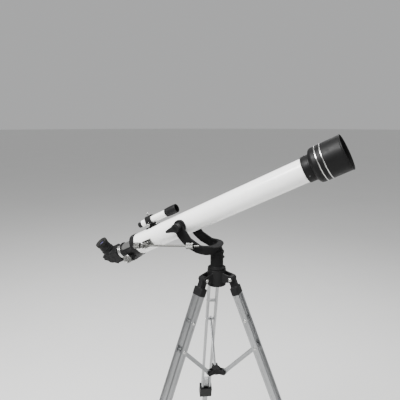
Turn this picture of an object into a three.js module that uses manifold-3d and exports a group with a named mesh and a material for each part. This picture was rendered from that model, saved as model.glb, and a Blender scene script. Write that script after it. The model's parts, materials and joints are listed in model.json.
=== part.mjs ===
// A 60 mm refracting telescope on a slanted fork head and a three-legged floor tripod.
//
// Millimetres, +Z up, +X the way the telescope looks, -Y its own right-hand side.
// The origin is on the floor, in the middle of the object's footprint.
// The optical tube's pieces are drawn in the tube's own frame: the altitude axis crosses its axis
// at the origin, and +X runs along it to the sky. Each leg is drawn in its own frame too: the hinge
// is at the origin, the leg hangs down -Z, and +X points away from the tripod's middle.

import * as THREE from "three";
import { mergeVertices } from "three/addons/utils/BufferGeometryUtils.js";
import Module from "manifold-3d";

// ---- Driving dimensions ----

const GAP = 0.3; // between pieces that touch or seat in each other
const ROUND = 28; // sides of a large turned piece
const SMALL_ROUND = 14; // sides of a small turned piece

// Optical tube
const ALTITUDE = 27; // degrees above the horizon, as the telescope stands
const TUBE_RADIUS = 31;
const TUBE_WALL = 1.6;
const TUBE_BEHIND = 175; // altitude axis to the tube's rear end
const TUBE_AHEAD = 384; // altitude axis to the tube's front end
const COLLAR_WALL = 2.2;
const COLLAR_COVER = 14; // how far the cell's collar reaches back over the tube
const COLLAR_STEP = 5; // from the tube's end to the collar's front shoulder
const SHIELD_RADIUS = TUBE_RADIUS + 14;
const SHIELD_WALL = 2;
const SHIELD_LENGTH = 86;
const TRIM_WIDTH = 2.6;
const TRIM_HEIGHT = 0.9;
const TRIM_PLACES = { trim_ring_rear: 23, trim_ring_front: 36 }; // from the dew shield's rear end
const LENS_RADIUS = TUBE_RADIUS - 1.8;
const LENS_SEAT = 2; // how far the cell's seat and the retaining ring reach in over the lenses
const CELL_LENGTH = 20; // from the tube's end to the cell's front edge, inside the dew shield

// Rack-and-pinion focuser
const BARREL_SIZE = 15.85; // radius of the standard 31.7 mm barrels
const BARREL_FIT = 0.35; // between such a barrel and the drawtube
const DRAWTUBE_RADIUS = BARREL_SIZE + 2.15;
const DRAWTUBE_WALL = 1.5;
const BARREL_WALL = 2.6;
const BARREL_LENGTH = 52;
const DRAWTUBE_INSIDE = 30; // how far the drawtube reaches forward into the tube
const DRAWTUBE_SHOWING = 4.5; // drawn-out length as the telescope stands
const DRAWTUBE_COLLAR = 9;
const GEAR_MODULE = 0.8;
const PINION_TEETH = 12;
const RACK_WIDTH = 7;
const RACK_BACKING = 1.5;
const RACK_LENGTH = 81;
const PINION_BACK = 33; // from the tube's rear end to the pinion's axis
const PINION_SHAFT_RADIUS = 2.8;
const FOCUS_KNOB_RADIUS = 13;
const FOCUS_KNOB_LENGTH = 10;
const SADDLE_WALL = 4;

// Star diagonal and eyepiece
const DIAGONAL_TURN = 28; // degrees that the diagonal is turned to the right-hand side
const DIAGONAL_HALF = BARREL_SIZE + 5.15;
const DIAGONAL_HALF_WIDTH = BARREL_SIZE + 4.15;
const DIAGONAL_NECK = 12;
const NOSE_INSERTED = 23;
const SOCKET_HEIGHT = 11;
const SOCKET_WALL = 3;
const MIRROR_DEPTH = 9; // corner cut: how far the 45-degree face is behind the axes' crossing
const MIRROR_THICKNESS = 2.5;
const MIRROR_HALF_WIDTH = BARREL_SIZE - 5.85;
const MIRROR_HALF_LENGTH = BARREL_SIZE - 0.85;
const EYEPIECE_HEIGHT = 30;
const EYEPIECE_RADIUS = BARREL_SIZE + 2.15;
const EYE_LENS_RADIUS = 7.9;

// Finder
const FINDER_RADIUS = 10;
const FINDER_HEIGHT = TUBE_RADIUS + FINDER_RADIUS + 9; // between the two optical axes
const FINDER_WALL = 1.4;
const FINDER_BACK = 128; // altitude axis to the rear end of the finder's tube
const FINDER_LENGTH = 98;
const FINDER_CELL_RADIUS = FINDER_RADIUS + 3;
const FINDER_CELL_LENGTH = 38;
const FINDER_CELL_COVER = 10;
const FINDER_EYE_RADIUS = FINDER_RADIUS - FINDER_WALL - GAP;
const FINDER_EYE_RELIEF = 14; // how far the finder's eyepiece stands out behind its tube
const BRACKET_BACK = 100; // altitude axis to the middle of the finder's holder
const BRACKET_RING_RADIUS = FINDER_RADIUS + 5.2;
const BRACKET_RING_WALL = 3;
const BRACKET_RING_WIDTH = 20;
const FINDER_SCREW_RADIUS = 1.6;
const FINDER_SCREW_ANGLES = [90, 210, 330];

// Fork head
const AXIS_BACK = 98; // post's axis to the altitude axis
const AXIS_HEIGHT = 72; // fork ring's underside to the altitude axis
const ARM_THICKNESS = 8;
const ARM_CLEARANCE = 0.6;
const BOSS_RADIUS = 18.5;
const BOSS_REACH = 5; // how far the pivot plates stand out from the tube's side
const PIVOT_BOLT_RADIUS = 4;
const FORK_EYE_RADIUS = 13.5;
// The arms' lower and upper edges between eye and foot, as shares of AXIS_BACK and of AXIS_HEIGHT
const FORK_LOWER_EDGE = [[-0.02, 0.36], [0.143, 0.597], [0.337, 0.792], [0.551, 0.917]];
const FORK_UPPER_EDGE = [[0.68, 0.62], [0.38, 0.39]];
const KNOB_LEVER = 33;
const KNOB_LENGTH = 16;
const KNOB_RADIUS = 12;
const KNOB_REST = 25; // degrees that a knob's wing points below level
const FORK_RING_RADIUS = 20;
const FORK_RING_HEIGHT = 7;
const SPINDLE_RADIUS = 10;
const SPINDLE_LENGTH = 32;

// Altitude rod
const ROD_RADIUS = 2.8;
const ROD_BACK = 120; // altitude axis to the rod's stud, along the tube
const ROD_DROP = 8; // tube's axis down to the rod's stud
const ROD_LENGTH = 174;
const ROD_EYE_RADIUS = 7;
const ROD_EYE_HALF = 8;
const CLAMP_AHEAD = 42; // altitude axis to the clamp's stud
const CLAMP_DROP = 45;
const CLAMP_LENGTH = 22;
const CLAMP_RADIUS = 8.6;
const CLAMP_OFF_ARM = 0.8;
const CLAMP_PLAY = 3.4; // room for the rod inside the clamp, which swings a little as the tube tilts
const STUD_RADIUS = 3;
const WHEEL_RADIUS = 9;

// Tripod
const LEG_ANGLE = 22; // degrees from upright
const HINGE_HEIGHT = 1010;
const HINGE_RADIUS = 45; // tripod's axis to a leg's hinge
const HINGE_PIN_RADIUS = 4;
const HUB_RADIUS = 26;
const HUB_DEPTH = 24;
const HUB_RISE = 22;
const EAR_THICKNESS = 5;
const POST_RADIUS = 18;
const POST_HEIGHT = 45;
const UPPER_LENGTH = 560;
const BAR_THICKNESS = 7;
const BAR_DEPTH = 18;
const CHANNEL_WIDTH = 18; // between the two bars of an upper leg
const LOWER_TOP = 500; // hinge to the lower leg's top end
const LOWER_WIDTH = 17;
const LOWER_DEPTH = 11;
const CLAMP_BLOCK_LENGTH = 45;
const CLAMP_BLOCK_WALL = 5;
const FOOT_LENGTH = 28;
const FOOT_WALL = 3.4;
const FOOT_SOLE = 6;
const BRACE_DOWN = 200; // hinge to the brace's axle, along the leg
const BRACE_LENGTH = 140;
const BRACE_THICKNESS = 6;
const BRACE_AXLE_RADIUS = 4;
const SPREADER_RADIUS = 25; // tripod's axis to the braces' inner pins
const SPREADER_PLAY = 2.3;
const SPREADER_PIN_RADIUS = 2.5;

// ---- Lengths that follow from them ----

const rad = THREE.MathUtils.degToRad;
const REAR = -TUBE_BEHIND;
const COLLAR_RADIUS = TUBE_RADIUS + GAP + COLLAR_WALL;
const SHIELD_START = TUBE_AHEAD + COLLAR_STEP + GAP;
const SHIELD_BORE = COLLAR_RADIUS - 0.5;
const BARREL_BORE = DRAWTUBE_RADIUS + 0.4;
const BARREL_RADIUS = BARREL_BORE + BARREL_WALL;
const BARREL_END = REAR - BARREL_LENGTH;
const RACK_WAY = RACK_WIDTH / 2 + 0.7; // half the width of the slot that the rack runs in
const RACK_RADIUS = DRAWTUBE_RADIUS + GAP; // the rack's top face lies this far below the axis
const PITCH_RADIUS = (GEAR_MODULE * PINION_TEETH) / 2;
const PITCH_LINE = RACK_RADIUS + RACK_BACKING + GEAR_MODULE;
const PINION_X = REAR - PINION_BACK;
const PINION_Z = -(PITCH_LINE + PITCH_RADIUS);
const HOUSING_BORE = BARREL_RADIUS + GAP;
const SADDLE_RADIUS = HOUSING_BORE + SADDLE_WALL;
const HOUSING_HALF_WIDTH = 18;
const FOCUS_KNOB_INNER = SADDLE_RADIUS + 0.8; // middle plane to a knob's inner face
const FOCUS_KNOB_OUTER = FOCUS_KNOB_INNER + FOCUS_KNOB_LENGTH;
const DRAWTUBE_END = BARREL_END - 1 - DRAWTUBE_SHOWING - DRAWTUBE_COLLAR;
const DIAGONAL_FRONT = DRAWTUBE_END - 1.5;
const DIAGONAL_X = DIAGONAL_FRONT - DIAGONAL_NECK - DIAGONAL_HALF;
const SOCKET_TOP = DIAGONAL_HALF + SOCKET_HEIGHT;
const BOSS_FACE = TUBE_RADIUS + BOSS_REACH;
const ARM_INNER = BOSS_FACE + ARM_CLEARANCE;
const ARM_OUTER = ARM_INNER + ARM_THICKNESS;
const ARM_DROP = AXIS_HEIGHT - FORK_RING_HEIGHT - 3; // altitude axis to the arms' lower end
const ROD_SIDE = ARM_OUTER + CLAMP_OFF_ARM + CLAMP_RADIUS; // middle plane to the rod's axis
const FORK_HEIGHT = HINGE_HEIGHT + HUB_RISE + GAP + POST_HEIGHT + GAP;
const EAR_INNER = CHANNEL_WIDTH / 2;
const EAR_OUTER = EAR_INNER + EAR_THICKNESS;
const BAR_OUTER = CHANNEL_WIDTH / 2 + BAR_THICKNESS;
const LEG_REACH = HINGE_HEIGHT / Math.cos(rad(LEG_ANGLE)); // hinge to the floor, along the leg
const FOOT_X = LOWER_DEPTH / 2 + FOOT_WALL;
const LOWER_END = -LEG_REACH + FOOT_SOLE + FOOT_X * Math.tan(rad(LEG_ANGLE));
const BLOCK_X = BAR_DEPTH / 2 + CLAMP_BLOCK_WALL;
const LEG_LOCK_DOWN = UPPER_LENGTH + 15;
const AZIMUTH_LOCK_DOWN = 20; // post's top to its lock knob
const EYEPIECE_BASE = SOCKET_TOP + 0.4;
const FOOT_TURNS = [0, 120, 240];
const BRACE_RADIUS = HINGE_RADIUS + BRACE_DOWN * Math.sin(rad(LEG_ANGLE));
const BRACE_SLOPE = Math.acos((BRACE_RADIUS - SPREADER_RADIUS) / BRACE_LENGTH);
const SPREADER_HEIGHT =
  HINGE_HEIGHT - BRACE_DOWN * Math.cos(rad(LEG_ANGLE)) - BRACE_LENGTH * Math.sin(BRACE_SLOPE);

// ---- Solids: closed geometries, joined and cut ----

const wasm = await Module();
wasm.setup();

function toSolid(geometry) {
  const bare = geometry.index ? geometry.toNonIndexed() : geometry.clone();
  bare.deleteAttribute("normal");
  bare.deleteAttribute("uv");
  const merged = mergeVertices(bare, 1e-4);
  return new wasm.Manifold(
    new wasm.Mesh({
      numProp: 3,
      vertProperties: merged.attributes.position.array,
      triVerts: new Uint32Array(merged.index.array),
    }),
  );
}

function toGeometry(solid) {
  const { vertProperties, triVerts } = solid.getMesh();
  const geometry = new THREE.BufferGeometry();
  geometry.setAttribute("position", new THREE.BufferAttribute(new Float32Array(vertProperties), 3));
  geometry.setIndex(new THREE.BufferAttribute(new Uint32Array(triVerts), 1));
  return geometry;
}

function combine(operation, first, others) {
  let solid = toSolid(first);
  for (const other of others) solid = solid[operation](toSolid(other));
  return toGeometry(solid);
}

const join = (first, ...others) => combine("add", first, others);
const cut = (first, ...others) => combine("subtract", first, others);
const common = (first, ...others) => combine("intersect", first, others);

// A piece turned about the X axis. The profile lists [x, radius] corners; it starts and ends on the
// axis, or it is a closed loop around a bore.
function turned(profile, sides = ROUND) {
  const points = profile.map(([x, radius]) => new THREE.Vector2(radius, x));
  const last = points.length - 1;
  const inward = THREE.ShapeUtils.area(points) < 0;
  if (points[0].x > 0 || points[last].x > 0) points.push(points[0].clone());
  if (inward) points.reverse();
  return new THREE.LatheGeometry(points, sides).rotateZ(-Math.PI / 2);
}

const tube = (inner, outer, from, to, sides) =>
  turned([[from, inner], [from, outer], [to, outer], [to, inner]], sides);

const rod = (radius, from, to, sides = SMALL_ROUND) =>
  turned([[from, 0], [from, radius], [to, radius], [to, 0]], sides);

// The same solid with its X axis turned to +Y or to +Z.
const alongY = (geometry) => geometry.rotateZ(Math.PI / 2);
const alongZ = (geometry) => geometry.rotateY(-Math.PI / 2);

const pin = (radius, from, to, x, z) => alongY(rod(radius, from, to)).translate(x, 0, z);

function block([x0, x1], [y0, y1], [z0, z1]) {
  const box = new THREE.BoxGeometry(x1 - x0, y1 - y0, z1 - z0);
  return box.translate((x0 + x1) / 2, (y0 + y1) / 2, (z0 + z1) / 2);
}

// An outline in the XZ plane, as thick as from one Y to the other.
function slab(outline, from, to) {
  const shape = new THREE.Shape(outline.map(([x, z]) => new THREE.Vector2(x, z)));
  const solid = new THREE.ExtrudeGeometry(shape, { depth: to - from, bevelEnabled: false });
  return solid.rotateX(Math.PI / 2).translate(0, to, 0);
}

// A point at an angle in degrees from a centre.
const around = (x, z, radius, angle) => [
  x + radius * Math.cos(rad(angle)),
  z + radius * Math.sin(rad(angle)),
];

// Points on an arc in degrees, for an outline.
function arc(x, z, radius, start, end, steps) {
  const points = [];
  for (let i = 0; i <= steps; i++) points.push(around(x, z, radius, start + ((end - start) * i) / steps));
  return points;
}

// A round grip with ridges along it, about the X axis.
function ridged(radius, from, to, ridges) {
  const points = [];
  for (let i = 0; i < 2 * ridges; i++) {
    const angle = (Math.PI * i) / ridges;
    const reach = i % 2 ? radius : radius - 0.8;
    points.push([reach * Math.cos(angle), reach * Math.sin(angle)]);
  }
  return alongZ(slab(points, from, to).rotateX(Math.PI / 2)).rotateY(Math.PI);
}

// ---- Finishes ----

const finishes = {
  white_paint: { color: 0xe9e9e4, roughness: 0.32, metalness: 0 },
  black_paint: { color: 0x161617, roughness: 0.48, metalness: 0 },
  black_plastic: { color: 0x1b1b1d, roughness: 0.55, metalness: 0 },
  chrome: { color: 0xc9cbcc, roughness: 0.2, metalness: 1 },
  aluminium: { color: 0xb9bbbd, roughness: 0.38, metalness: 1 },
  glass: { color: 0xa9bfc9, roughness: 0.05, metalness: 0 },
  rubber: { color: 0x19191a, roughness: 0.85, metalness: 0 },
};

function add(parent, name, finish, geometry) {
  const mesh = new THREE.Mesh(
    toGeometry(toSolid(geometry)),
    new THREE.MeshStandardMaterial(finishes[finish]),
  );
  mesh.name = name;
  parent.add(mesh);
  return mesh;
}

function pivot(parent, name, x, y, z) {
  const group = new THREE.Group();
  group.name = name;
  group.position.set(x, y, z);
  parent.add(group);
  return group;
}

// ---- Optical tube ----

function addObjective(tubeGroup) {
  const front = TUBE_AHEAD;
  const seat = front + COLLAR_STEP - 1;
  const cellEnd = front + CELL_LENGTH;
  add(tubeGroup, "objective_cell", "black_paint", turned([
    [front - COLLAR_COVER, TUBE_RADIUS + GAP],
    [front - COLLAR_COVER, COLLAR_RADIUS],
    [front + COLLAR_STEP, COLLAR_RADIUS],
    [front + COLLAR_STEP, SHIELD_BORE - GAP],
    [cellEnd, SHIELD_BORE - GAP],
    [cellEnd, LENS_RADIUS + GAP],
    [seat, LENS_RADIUS + GAP],
    [seat, LENS_RADIUS - LENS_SEAT],
    [front + GAP, LENS_RADIUS - LENS_SEAT],
    [front + GAP, TUBE_RADIUS + GAP],
  ]));
  const flint = seat + GAP;
  add(tubeGroup, "lens_flint", "glass", turned([
    [flint, 0],
    [flint, LENS_RADIUS],
    [flint + 4, LENS_RADIUS],
    [flint + 3, LENS_RADIUS / 2],
    [flint + 2.6, 0],
  ]));
  const crown = flint + 4 + GAP;
  add(tubeGroup, "lens_crown", "glass", turned([
    [crown - 1.4, 0],
    [crown - 1, LENS_RADIUS / 2],
    [crown, LENS_RADIUS],
    [crown + 2.4, LENS_RADIUS],
    [crown + 4, LENS_RADIUS / 2],
    [crown + 4.6, 0],
  ]));
  const ring = crown + 2.4 + GAP;
  add(tubeGroup, "lens_ring", "black_paint", tube(LENS_RADIUS - LENS_SEAT, LENS_RADIUS, ring, ring + 4));
}

function addDewShield(tubeGroup) {
  const start = SHIELD_START;
  const end = start + SHIELD_LENGTH;
  const inner = SHIELD_RADIUS - SHIELD_WALL;
  const shoulder = arc(start + 13, SHIELD_RADIUS - 10, 10, 180, 90, 4);
  add(tubeGroup, "dew_shield", "black_paint", turned([
    [start, SHIELD_BORE],
    [start, SHIELD_BORE + 2],
    ...shoulder,
    [end - 3.4, SHIELD_RADIUS],
    [end - 2.4, SHIELD_RADIUS + 0.7],
    [end, SHIELD_RADIUS + 0.7],
    [end, inner],
    [start + 16, inner],
    [start + 14, SHIELD_BORE],
  ]));
  for (const [name, place] of Object.entries(TRIM_PLACES)) {
    const inside = SHIELD_RADIUS + GAP;
    const middle = start + place;
    const band = tube(inside, inside + TRIM_HEIGHT, middle - TRIM_WIDTH / 2, middle + TRIM_WIDTH / 2);
    add(tubeGroup, name, "chrome", band);
  }
}

// ---- Focuser ----

function focuserHousing() {
  const flange = turned([
    [REAR + 10, TUBE_RADIUS + GAP],
    [REAR + 10, TUBE_RADIUS + GAP + 2],
    [REAR - 6, TUBE_RADIUS + GAP + 2],
    [REAR - 11, BARREL_RADIUS + 6],
    [REAR - 12, HOUSING_BORE],
    [REAR - GAP, HOUSING_BORE],
    [REAR - GAP, TUBE_RADIUS + GAP],
  ]);
  const saddle = turned([
    [REAR - 4, HOUSING_BORE],
    [REAR - 4, TUBE_RADIUS + 1],
    [REAR - 9, TUBE_RADIUS],
    [REAR - 17, SADDLE_RADIUS + 2.5],
    [REAR - 26, SADDLE_RADIUS],
    [BARREL_END + 1, SADDLE_RADIUS],
    [BARREL_END + 1, HOUSING_BORE],
  ]);
  const lowerHalf = block([BARREL_END - 10, REAR], [-50, 50], [-60, 4]);
  const rim = tube(HOUSING_BORE, HOUSING_BORE + 3.4, BARREL_END - 1, BARREL_END + 4);
  const depth = PINION_Z - 12;
  const gearCase = slab([
    [PINION_X - 12, -BARREL_RADIUS],
    [PINION_X - 12, depth + 5],
    [PINION_X - 7, depth],
    [PINION_X + 9, depth],
    [PINION_X + 19, depth + 8],
    [PINION_X + 22, -BARREL_RADIUS],
  ], -HOUSING_HALF_WIDTH, HOUSING_HALF_WIDTH);
  const bore = rod(HOUSING_BORE, BARREL_END - 5, REAR - GAP, ROUND);
  const rackFloor = -(PITCH_LINE + GEAR_MODULE + 0.7);
  const groove = block([BARREL_END - 5, REAR + 4], [-RACK_WAY, RACK_WAY], [rackFloor, -BARREL_BORE]);
  const room = PITCH_RADIUS + GEAR_MODULE + 1;
  const gearRoom = block(
    [PINION_X - room, PINION_X + room],
    [-RACK_WAY, RACK_WAY],
    [PINION_Z - room, -BARREL_BORE],
  );
  const shaftHole = pin(PINION_SHAFT_RADIUS + GAP, -40, 40, PINION_X, PINION_Z);
  const body = join(flange, common(saddle, lowerHalf), rim, gearCase);
  return cut(body, bore, groove, gearRoom, shaftHole);
}

function focuserBarrel() {
  const barrel = turned([
    [REAR + 2.5, BARREL_BORE],
    [REAR + 2.5, TUBE_RADIUS - TUBE_WALL - 1.4],
    [REAR, TUBE_RADIUS - TUBE_WALL - 1.4],
    [REAR, BARREL_RADIUS],
    [BARREL_END, BARREL_RADIUS],
    [BARREL_END, BARREL_BORE],
  ]);
  const slot = block([BARREL_END - 5, REAR + 5], [-RACK_WAY, RACK_WAY], [-TUBE_RADIUS, -DRAWTUBE_RADIUS / 2]);
  return cut(barrel, slot);
}

function drawtube() {
  const socket = BARREL_SIZE + BARREL_FIT;
  const inner = DRAWTUBE_RADIUS - DRAWTUBE_WALL;
  const socketEnd = DRAWTUBE_END + NOSE_INSERTED + 2;
  const collar = DRAWTUBE_END + DRAWTUBE_COLLAR;
  return turned([
    [REAR + DRAWTUBE_INSIDE, inner],
    [REAR + DRAWTUBE_INSIDE, DRAWTUBE_RADIUS],
    [collar, DRAWTUBE_RADIUS],
    [collar, DRAWTUBE_RADIUS + 2.6],
    [DRAWTUBE_END, DRAWTUBE_RADIUS + 2.6],
    [DRAWTUBE_END, socket],
    [socketEnd, socket],
    [socketEnd, inner],
  ]);
}

// Straight-flanked teeth, thinner than their gaps, so the pair runs with backlash.
function focusRack() {
  const pitch = Math.PI * GEAR_MODULE;
  const root = -(RACK_RADIUS + RACK_BACKING);
  const tip = root - 2 * GEAR_MODULE;
  const teeth = Math.floor(RACK_LENGTH / pitch);
  const rear = PINION_X + pitch * (0.5 - Math.round((PINION_X - BARREL_END) / pitch));
  const outline = [[rear - pitch / 2, -RACK_RADIUS]];
  for (let i = 0; i < teeth; i++) {
    const middle = rear + i * pitch;
    outline.push([middle - 0.3 * pitch, root], [middle - 0.12 * pitch, tip]);
    outline.push([middle + 0.12 * pitch, tip], [middle + 0.3 * pitch, root]);
  }
  outline.push([rear + (teeth - 0.5) * pitch, -RACK_RADIUS]);
  return slab(outline, -RACK_WIDTH / 2, RACK_WIDTH / 2);
}

// The pinion and its shaft, about the origin along Y, with one tooth pointing straight up.
function pinionShaft() {
  const step = 360 / PINION_TEETH;
  const outline = [];
  const root = PITCH_RADIUS - GEAR_MODULE - 0.2;
  const tip = PITCH_RADIUS + 0.9 * GEAR_MODULE;
  for (let i = 0; i < PINION_TEETH; i++) {
    const middle = 90 + i * step;
    outline.push(around(0, 0, root, middle - 0.28 * step), around(0, 0, tip, middle - 0.1 * step));
    outline.push(around(0, 0, tip, middle + 0.1 * step), around(0, 0, root, middle + 0.28 * step));
  }
  const gear = slab(outline, -RACK_WIDTH / 2, RACK_WIDTH / 2);
  const reach = FOCUS_KNOB_OUTER - 4;
  return join(gear, pin(PINION_SHAFT_RADIUS, -reach, reach, 0, 0));
}

function focusKnob(side) {
  const inside = HOUSING_HALF_WIDTH + 0.6;
  const bore = PINION_SHAFT_RADIUS + GAP;
  const knob = turned([
    [inside, bore],
    [inside, 7],
    [FOCUS_KNOB_INNER - 1, 7],
    [FOCUS_KNOB_INNER, FOCUS_KNOB_RADIUS],
    [FOCUS_KNOB_OUTER - 1.5, FOCUS_KNOB_RADIUS],
    [FOCUS_KNOB_OUTER, FOCUS_KNOB_RADIUS - 1.5],
    [FOCUS_KNOB_OUTER, 0],
    [FOCUS_KNOB_OUTER - 3.4, 0],
    [FOCUS_KNOB_OUTER - 3.4, bore],
  ]);
  return alongY(knob).rotateZ(side < 0 ? Math.PI : 0);
}

function addFocuser(tubeGroup) {
  add(tubeGroup, "focuser_housing", "black_plastic", focuserHousing());
  add(tubeGroup, "focuser_barrel", "chrome", focuserBarrel());
  const draw = pivot(tubeGroup, "focus_slide", 0, 0, 0);
  add(draw, "drawtube", "chrome", drawtube());
  add(draw, "focus_rack", "black_plastic", focusRack());
  const pinion = pivot(tubeGroup, "focus_knob_turn", PINION_X, 0, PINION_Z);
  add(pinion, "pinion_shaft", "aluminium", pinionShaft());
  add(pinion, "focus_knob_left", "chrome", focusKnob(1));
  add(pinion, "focus_knob_right", "chrome", focusKnob(-1));
  return draw;
}

// ---- Star diagonal and eyepiece, about the crossing of their two axes ----

function diagonalBody() {
  const half = DIAGONAL_HALF;
  const front = DIAGONAL_NECK + half;
  const bore = BARREL_SIZE + 0.15;
  const corner = half - MIRROR_DEPTH;
  const shell = slab([
    [front, -half],
    [corner, -half],
    [-half, corner],
    [-half, half],
    [front, half],
  ], -DIAGONAL_HALF_WIDTH, DIAGONAL_HALF_WIDTH);
  const socket = alongZ(tube(bore, bore + SOCKET_WALL, half - 1, SOCKET_TOP));
  const across = rod(bore, -bore, front + 1, ROUND);
  const upward = alongZ(rod(bore, -bore, half + 1, ROUND));
  const reach = 2 * half;
  const aheadOfMirror = slab([
    [reach, -reach - MIRROR_DEPTH - 1],
    [reach, reach],
    [-reach - MIRROR_DEPTH - 1, reach],
  ], -reach, reach);
  return cut(join(shell, socket), common(join(across, upward), aheadOfMirror));
}

function diagonalBackPlate() {
  const half = DIAGONAL_HALF;
  const inner = half - MIRROR_DEPTH - GAP * Math.SQRT2;
  const outer = inner - 3 * Math.SQRT2;
  return slab([
    [inner, -half],
    [-half, inner],
    [-half, outer],
    [outer, -half],
  ], -DIAGONAL_HALF_WIDTH, DIAGONAL_HALF_WIDTH);
}

function diagonalMirror() {
  const plate = block(
    [-MIRROR_THICKNESS, 0],
    [-MIRROR_HALF_WIDTH, MIRROR_HALF_WIDTH],
    [-MIRROR_HALF_LENGTH, MIRROR_HALF_LENGTH],
  );
  const back = -(MIRROR_DEPTH - GAP) / Math.SQRT2 + MIRROR_THICKNESS;
  return plate.translate(back, 0, 0).rotateY(rad(-45));
}

function eyepieceBody() {
  const bore = BARREL_SIZE + GAP;
  const base = EYEPIECE_BASE;
  const top = base + EYEPIECE_HEIGHT;
  const radius = EYEPIECE_RADIUS;
  return alongZ(turned([
    [base, bore],
    [base, radius - 0.4],
    [base + 12, radius - 1],
    [top - 12, radius - 1.6],
    [top - 10, radius + 0.8],
    [top - 1.5, radius + 0.8],
    [top, radius - 1],
    [top, 13],
    [top - 4, EYE_LENS_RADIUS + GAP],
    [top - 9, EYE_LENS_RADIUS + GAP],
    [top - 9, 6.5],
    [base + 6, 6.5],
    [base + 6, bore],
  ]));
}

function addDiagonal(draw) {
  const diagonal = pivot(draw, "diagonal_turn", DIAGONAL_X, 0, 0);
  diagonal.rotation.x = rad(DIAGONAL_TURN);
  add(diagonal, "diagonal_body", "black_plastic", diagonalBody());
  const noseEnd = DIAGONAL_HALF + DIAGONAL_NECK;
  const nose = tube(BARREL_SIZE - 1.5, BARREL_SIZE, noseEnd - 10, noseEnd + NOSE_INSERTED);
  add(diagonal, "diagonal_nose", "chrome", nose);
  add(diagonal, "diagonal_back_plate", "black_plastic", diagonalBackPlate());
  add(diagonal, "diagonal_mirror", "glass", diagonalMirror());

  const eyepiece = pivot(diagonal, "eyepiece_slide", 0, 0, 0);
  const barrel = tube(BARREL_SIZE - 1.4, BARREL_SIZE - 0.15, EYEPIECE_BASE - 20, EYEPIECE_BASE + 5.6);
  add(eyepiece, "eyepiece_barrel", "chrome", alongZ(barrel));
  add(eyepiece, "eyepiece_body", "black_plastic", eyepieceBody());
  const lens = EYEPIECE_BASE + EYEPIECE_HEIGHT - 9 + GAP;
  add(eyepiece, "eyepiece_lens", "glass", alongZ(turned([
    [lens, 0],
    [lens, EYE_LENS_RADIUS],
    [lens + 2, EYE_LENS_RADIUS],
    [lens + 3.2, 0],
  ])));
}

// ---- Finder ----

function finderBracket() {
  const rear = -BRACKET_BACK - BRACKET_RING_WIDTH / 2;
  const front = -BRACKET_BACK + BRACKET_RING_WIDTH / 2;
  const bore = BRACKET_RING_RADIUS - BRACKET_RING_WALL;
  const ring = tube(bore, BRACKET_RING_RADIUS, rear, front).translate(0, 0, FINDER_HEIGHT);
  const underRing = FINDER_HEIGHT - BRACKET_RING_RADIUS + 1.5;
  const stem = block([rear + 2, front - 2], [-6, 6], [TUBE_RADIUS - 4, underRing]);
  const foot = block([rear - 10, front + 10], [-11, 11], [TUBE_RADIUS - 4, TUBE_RADIUS + 2.4]);
  const tubeRoom = rod(TUBE_RADIUS + GAP, rear - 20, front + 20, ROUND);
  const holes = FINDER_SCREW_ANGLES.map((angle) =>
    finderRadial(alongZ(rod(FINDER_SCREW_RADIUS + GAP, bore - 2, BRACKET_RING_RADIUS + 2)), angle),
  );
  return cut(join(ring, stem, foot), tubeRoom, ...holes);
}

// Turns a piece that points up from the finder's axis to an angle around it, in degrees.
const finderRadial = (geometry, angle) =>
  geometry.rotateX(rad(angle - 90)).translate(-BRACKET_BACK, 0, FINDER_HEIGHT);

function addFinder(tubeGroup) {
  const rear = -FINDER_BACK;
  const front = rear + FINDER_LENGTH;
  const inner = FINDER_RADIUS - FINDER_WALL;
  const raise = (geometry) => geometry.translate(0, 0, FINDER_HEIGHT);
  add(tubeGroup, "finder_bracket", "black_plastic", finderBracket());
  add(tubeGroup, "finder_tube", "white_paint", raise(tube(inner, FINDER_RADIUS, rear, front)));

  const cellRear = front - FINDER_CELL_COVER;
  const cellFront = cellRear + FINDER_CELL_LENGTH;
  add(tubeGroup, "finder_objective_cell", "black_plastic", raise(turned([
    [cellRear, FINDER_RADIUS + GAP],
    [cellRear, FINDER_CELL_RADIUS - 0.8],
    [cellRear + 10, FINDER_CELL_RADIUS],
    [cellFront, FINDER_CELL_RADIUS],
    [cellFront, FINDER_CELL_RADIUS - 1.6],
    [front + 4, FINDER_CELL_RADIUS - 1.6],
    [front + 4, inner],
    [front + GAP, inner],
    [front + GAP, FINDER_RADIUS + GAP],
  ])));

  const eye = pivot(tubeGroup, "finder_focus", 0, 0, 0);
  add(eye, "finder_eyepiece", "black_plastic", raise(turned([
    [rear - FINDER_EYE_RELIEF, 4],
    [rear - FINDER_EYE_RELIEF, FINDER_EYE_RADIUS],
    [rear - 5, FINDER_EYE_RADIUS],
    [rear - 5, FINDER_EYE_RADIUS - 1.4],
    [rear, FINDER_EYE_RADIUS - 1.4],
    [rear + 2, FINDER_EYE_RADIUS],
    [rear + 12, FINDER_EYE_RADIUS],
    [rear + 12, 4],
  ], SMALL_ROUND)));

  FINDER_SCREW_ANGLES.forEach((angle, index) => {
    const holder = pivot(tubeGroup, `finder_screw_${index + 1}_turn`, -BRACKET_BACK, 0, FINDER_HEIGHT);
    holder.rotation.x = rad(angle - 90);
    const shaft = rod(FINDER_SCREW_RADIUS, FINDER_RADIUS + 0.5, BRACKET_RING_RADIUS + 2);
    const head = rod(4, BRACKET_RING_RADIUS + 1.5, BRACKET_RING_RADIUS + 8);
    add(holder, `finder_screw_${index + 1}`, "chrome", alongZ(join(shaft, head)));
  });
}

// ---- Pivot plates and the altitude rod's bracket, on the tube's sides ----

function pivotPlate(side) {
  const boss = alongY(rod(BOSS_RADIUS, TUBE_RADIUS - 8, BOSS_FACE, 28));
  const socket = alongY(rod(PIVOT_BOLT_RADIUS + GAP, BOSS_FACE - 3, BOSS_FACE + 1));
  const plate = cut(boss, rod(TUBE_RADIUS + GAP, -40, 40, ROUND), socket);
  return plate.rotateZ(side < 0 ? Math.PI : 0);
}

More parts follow.
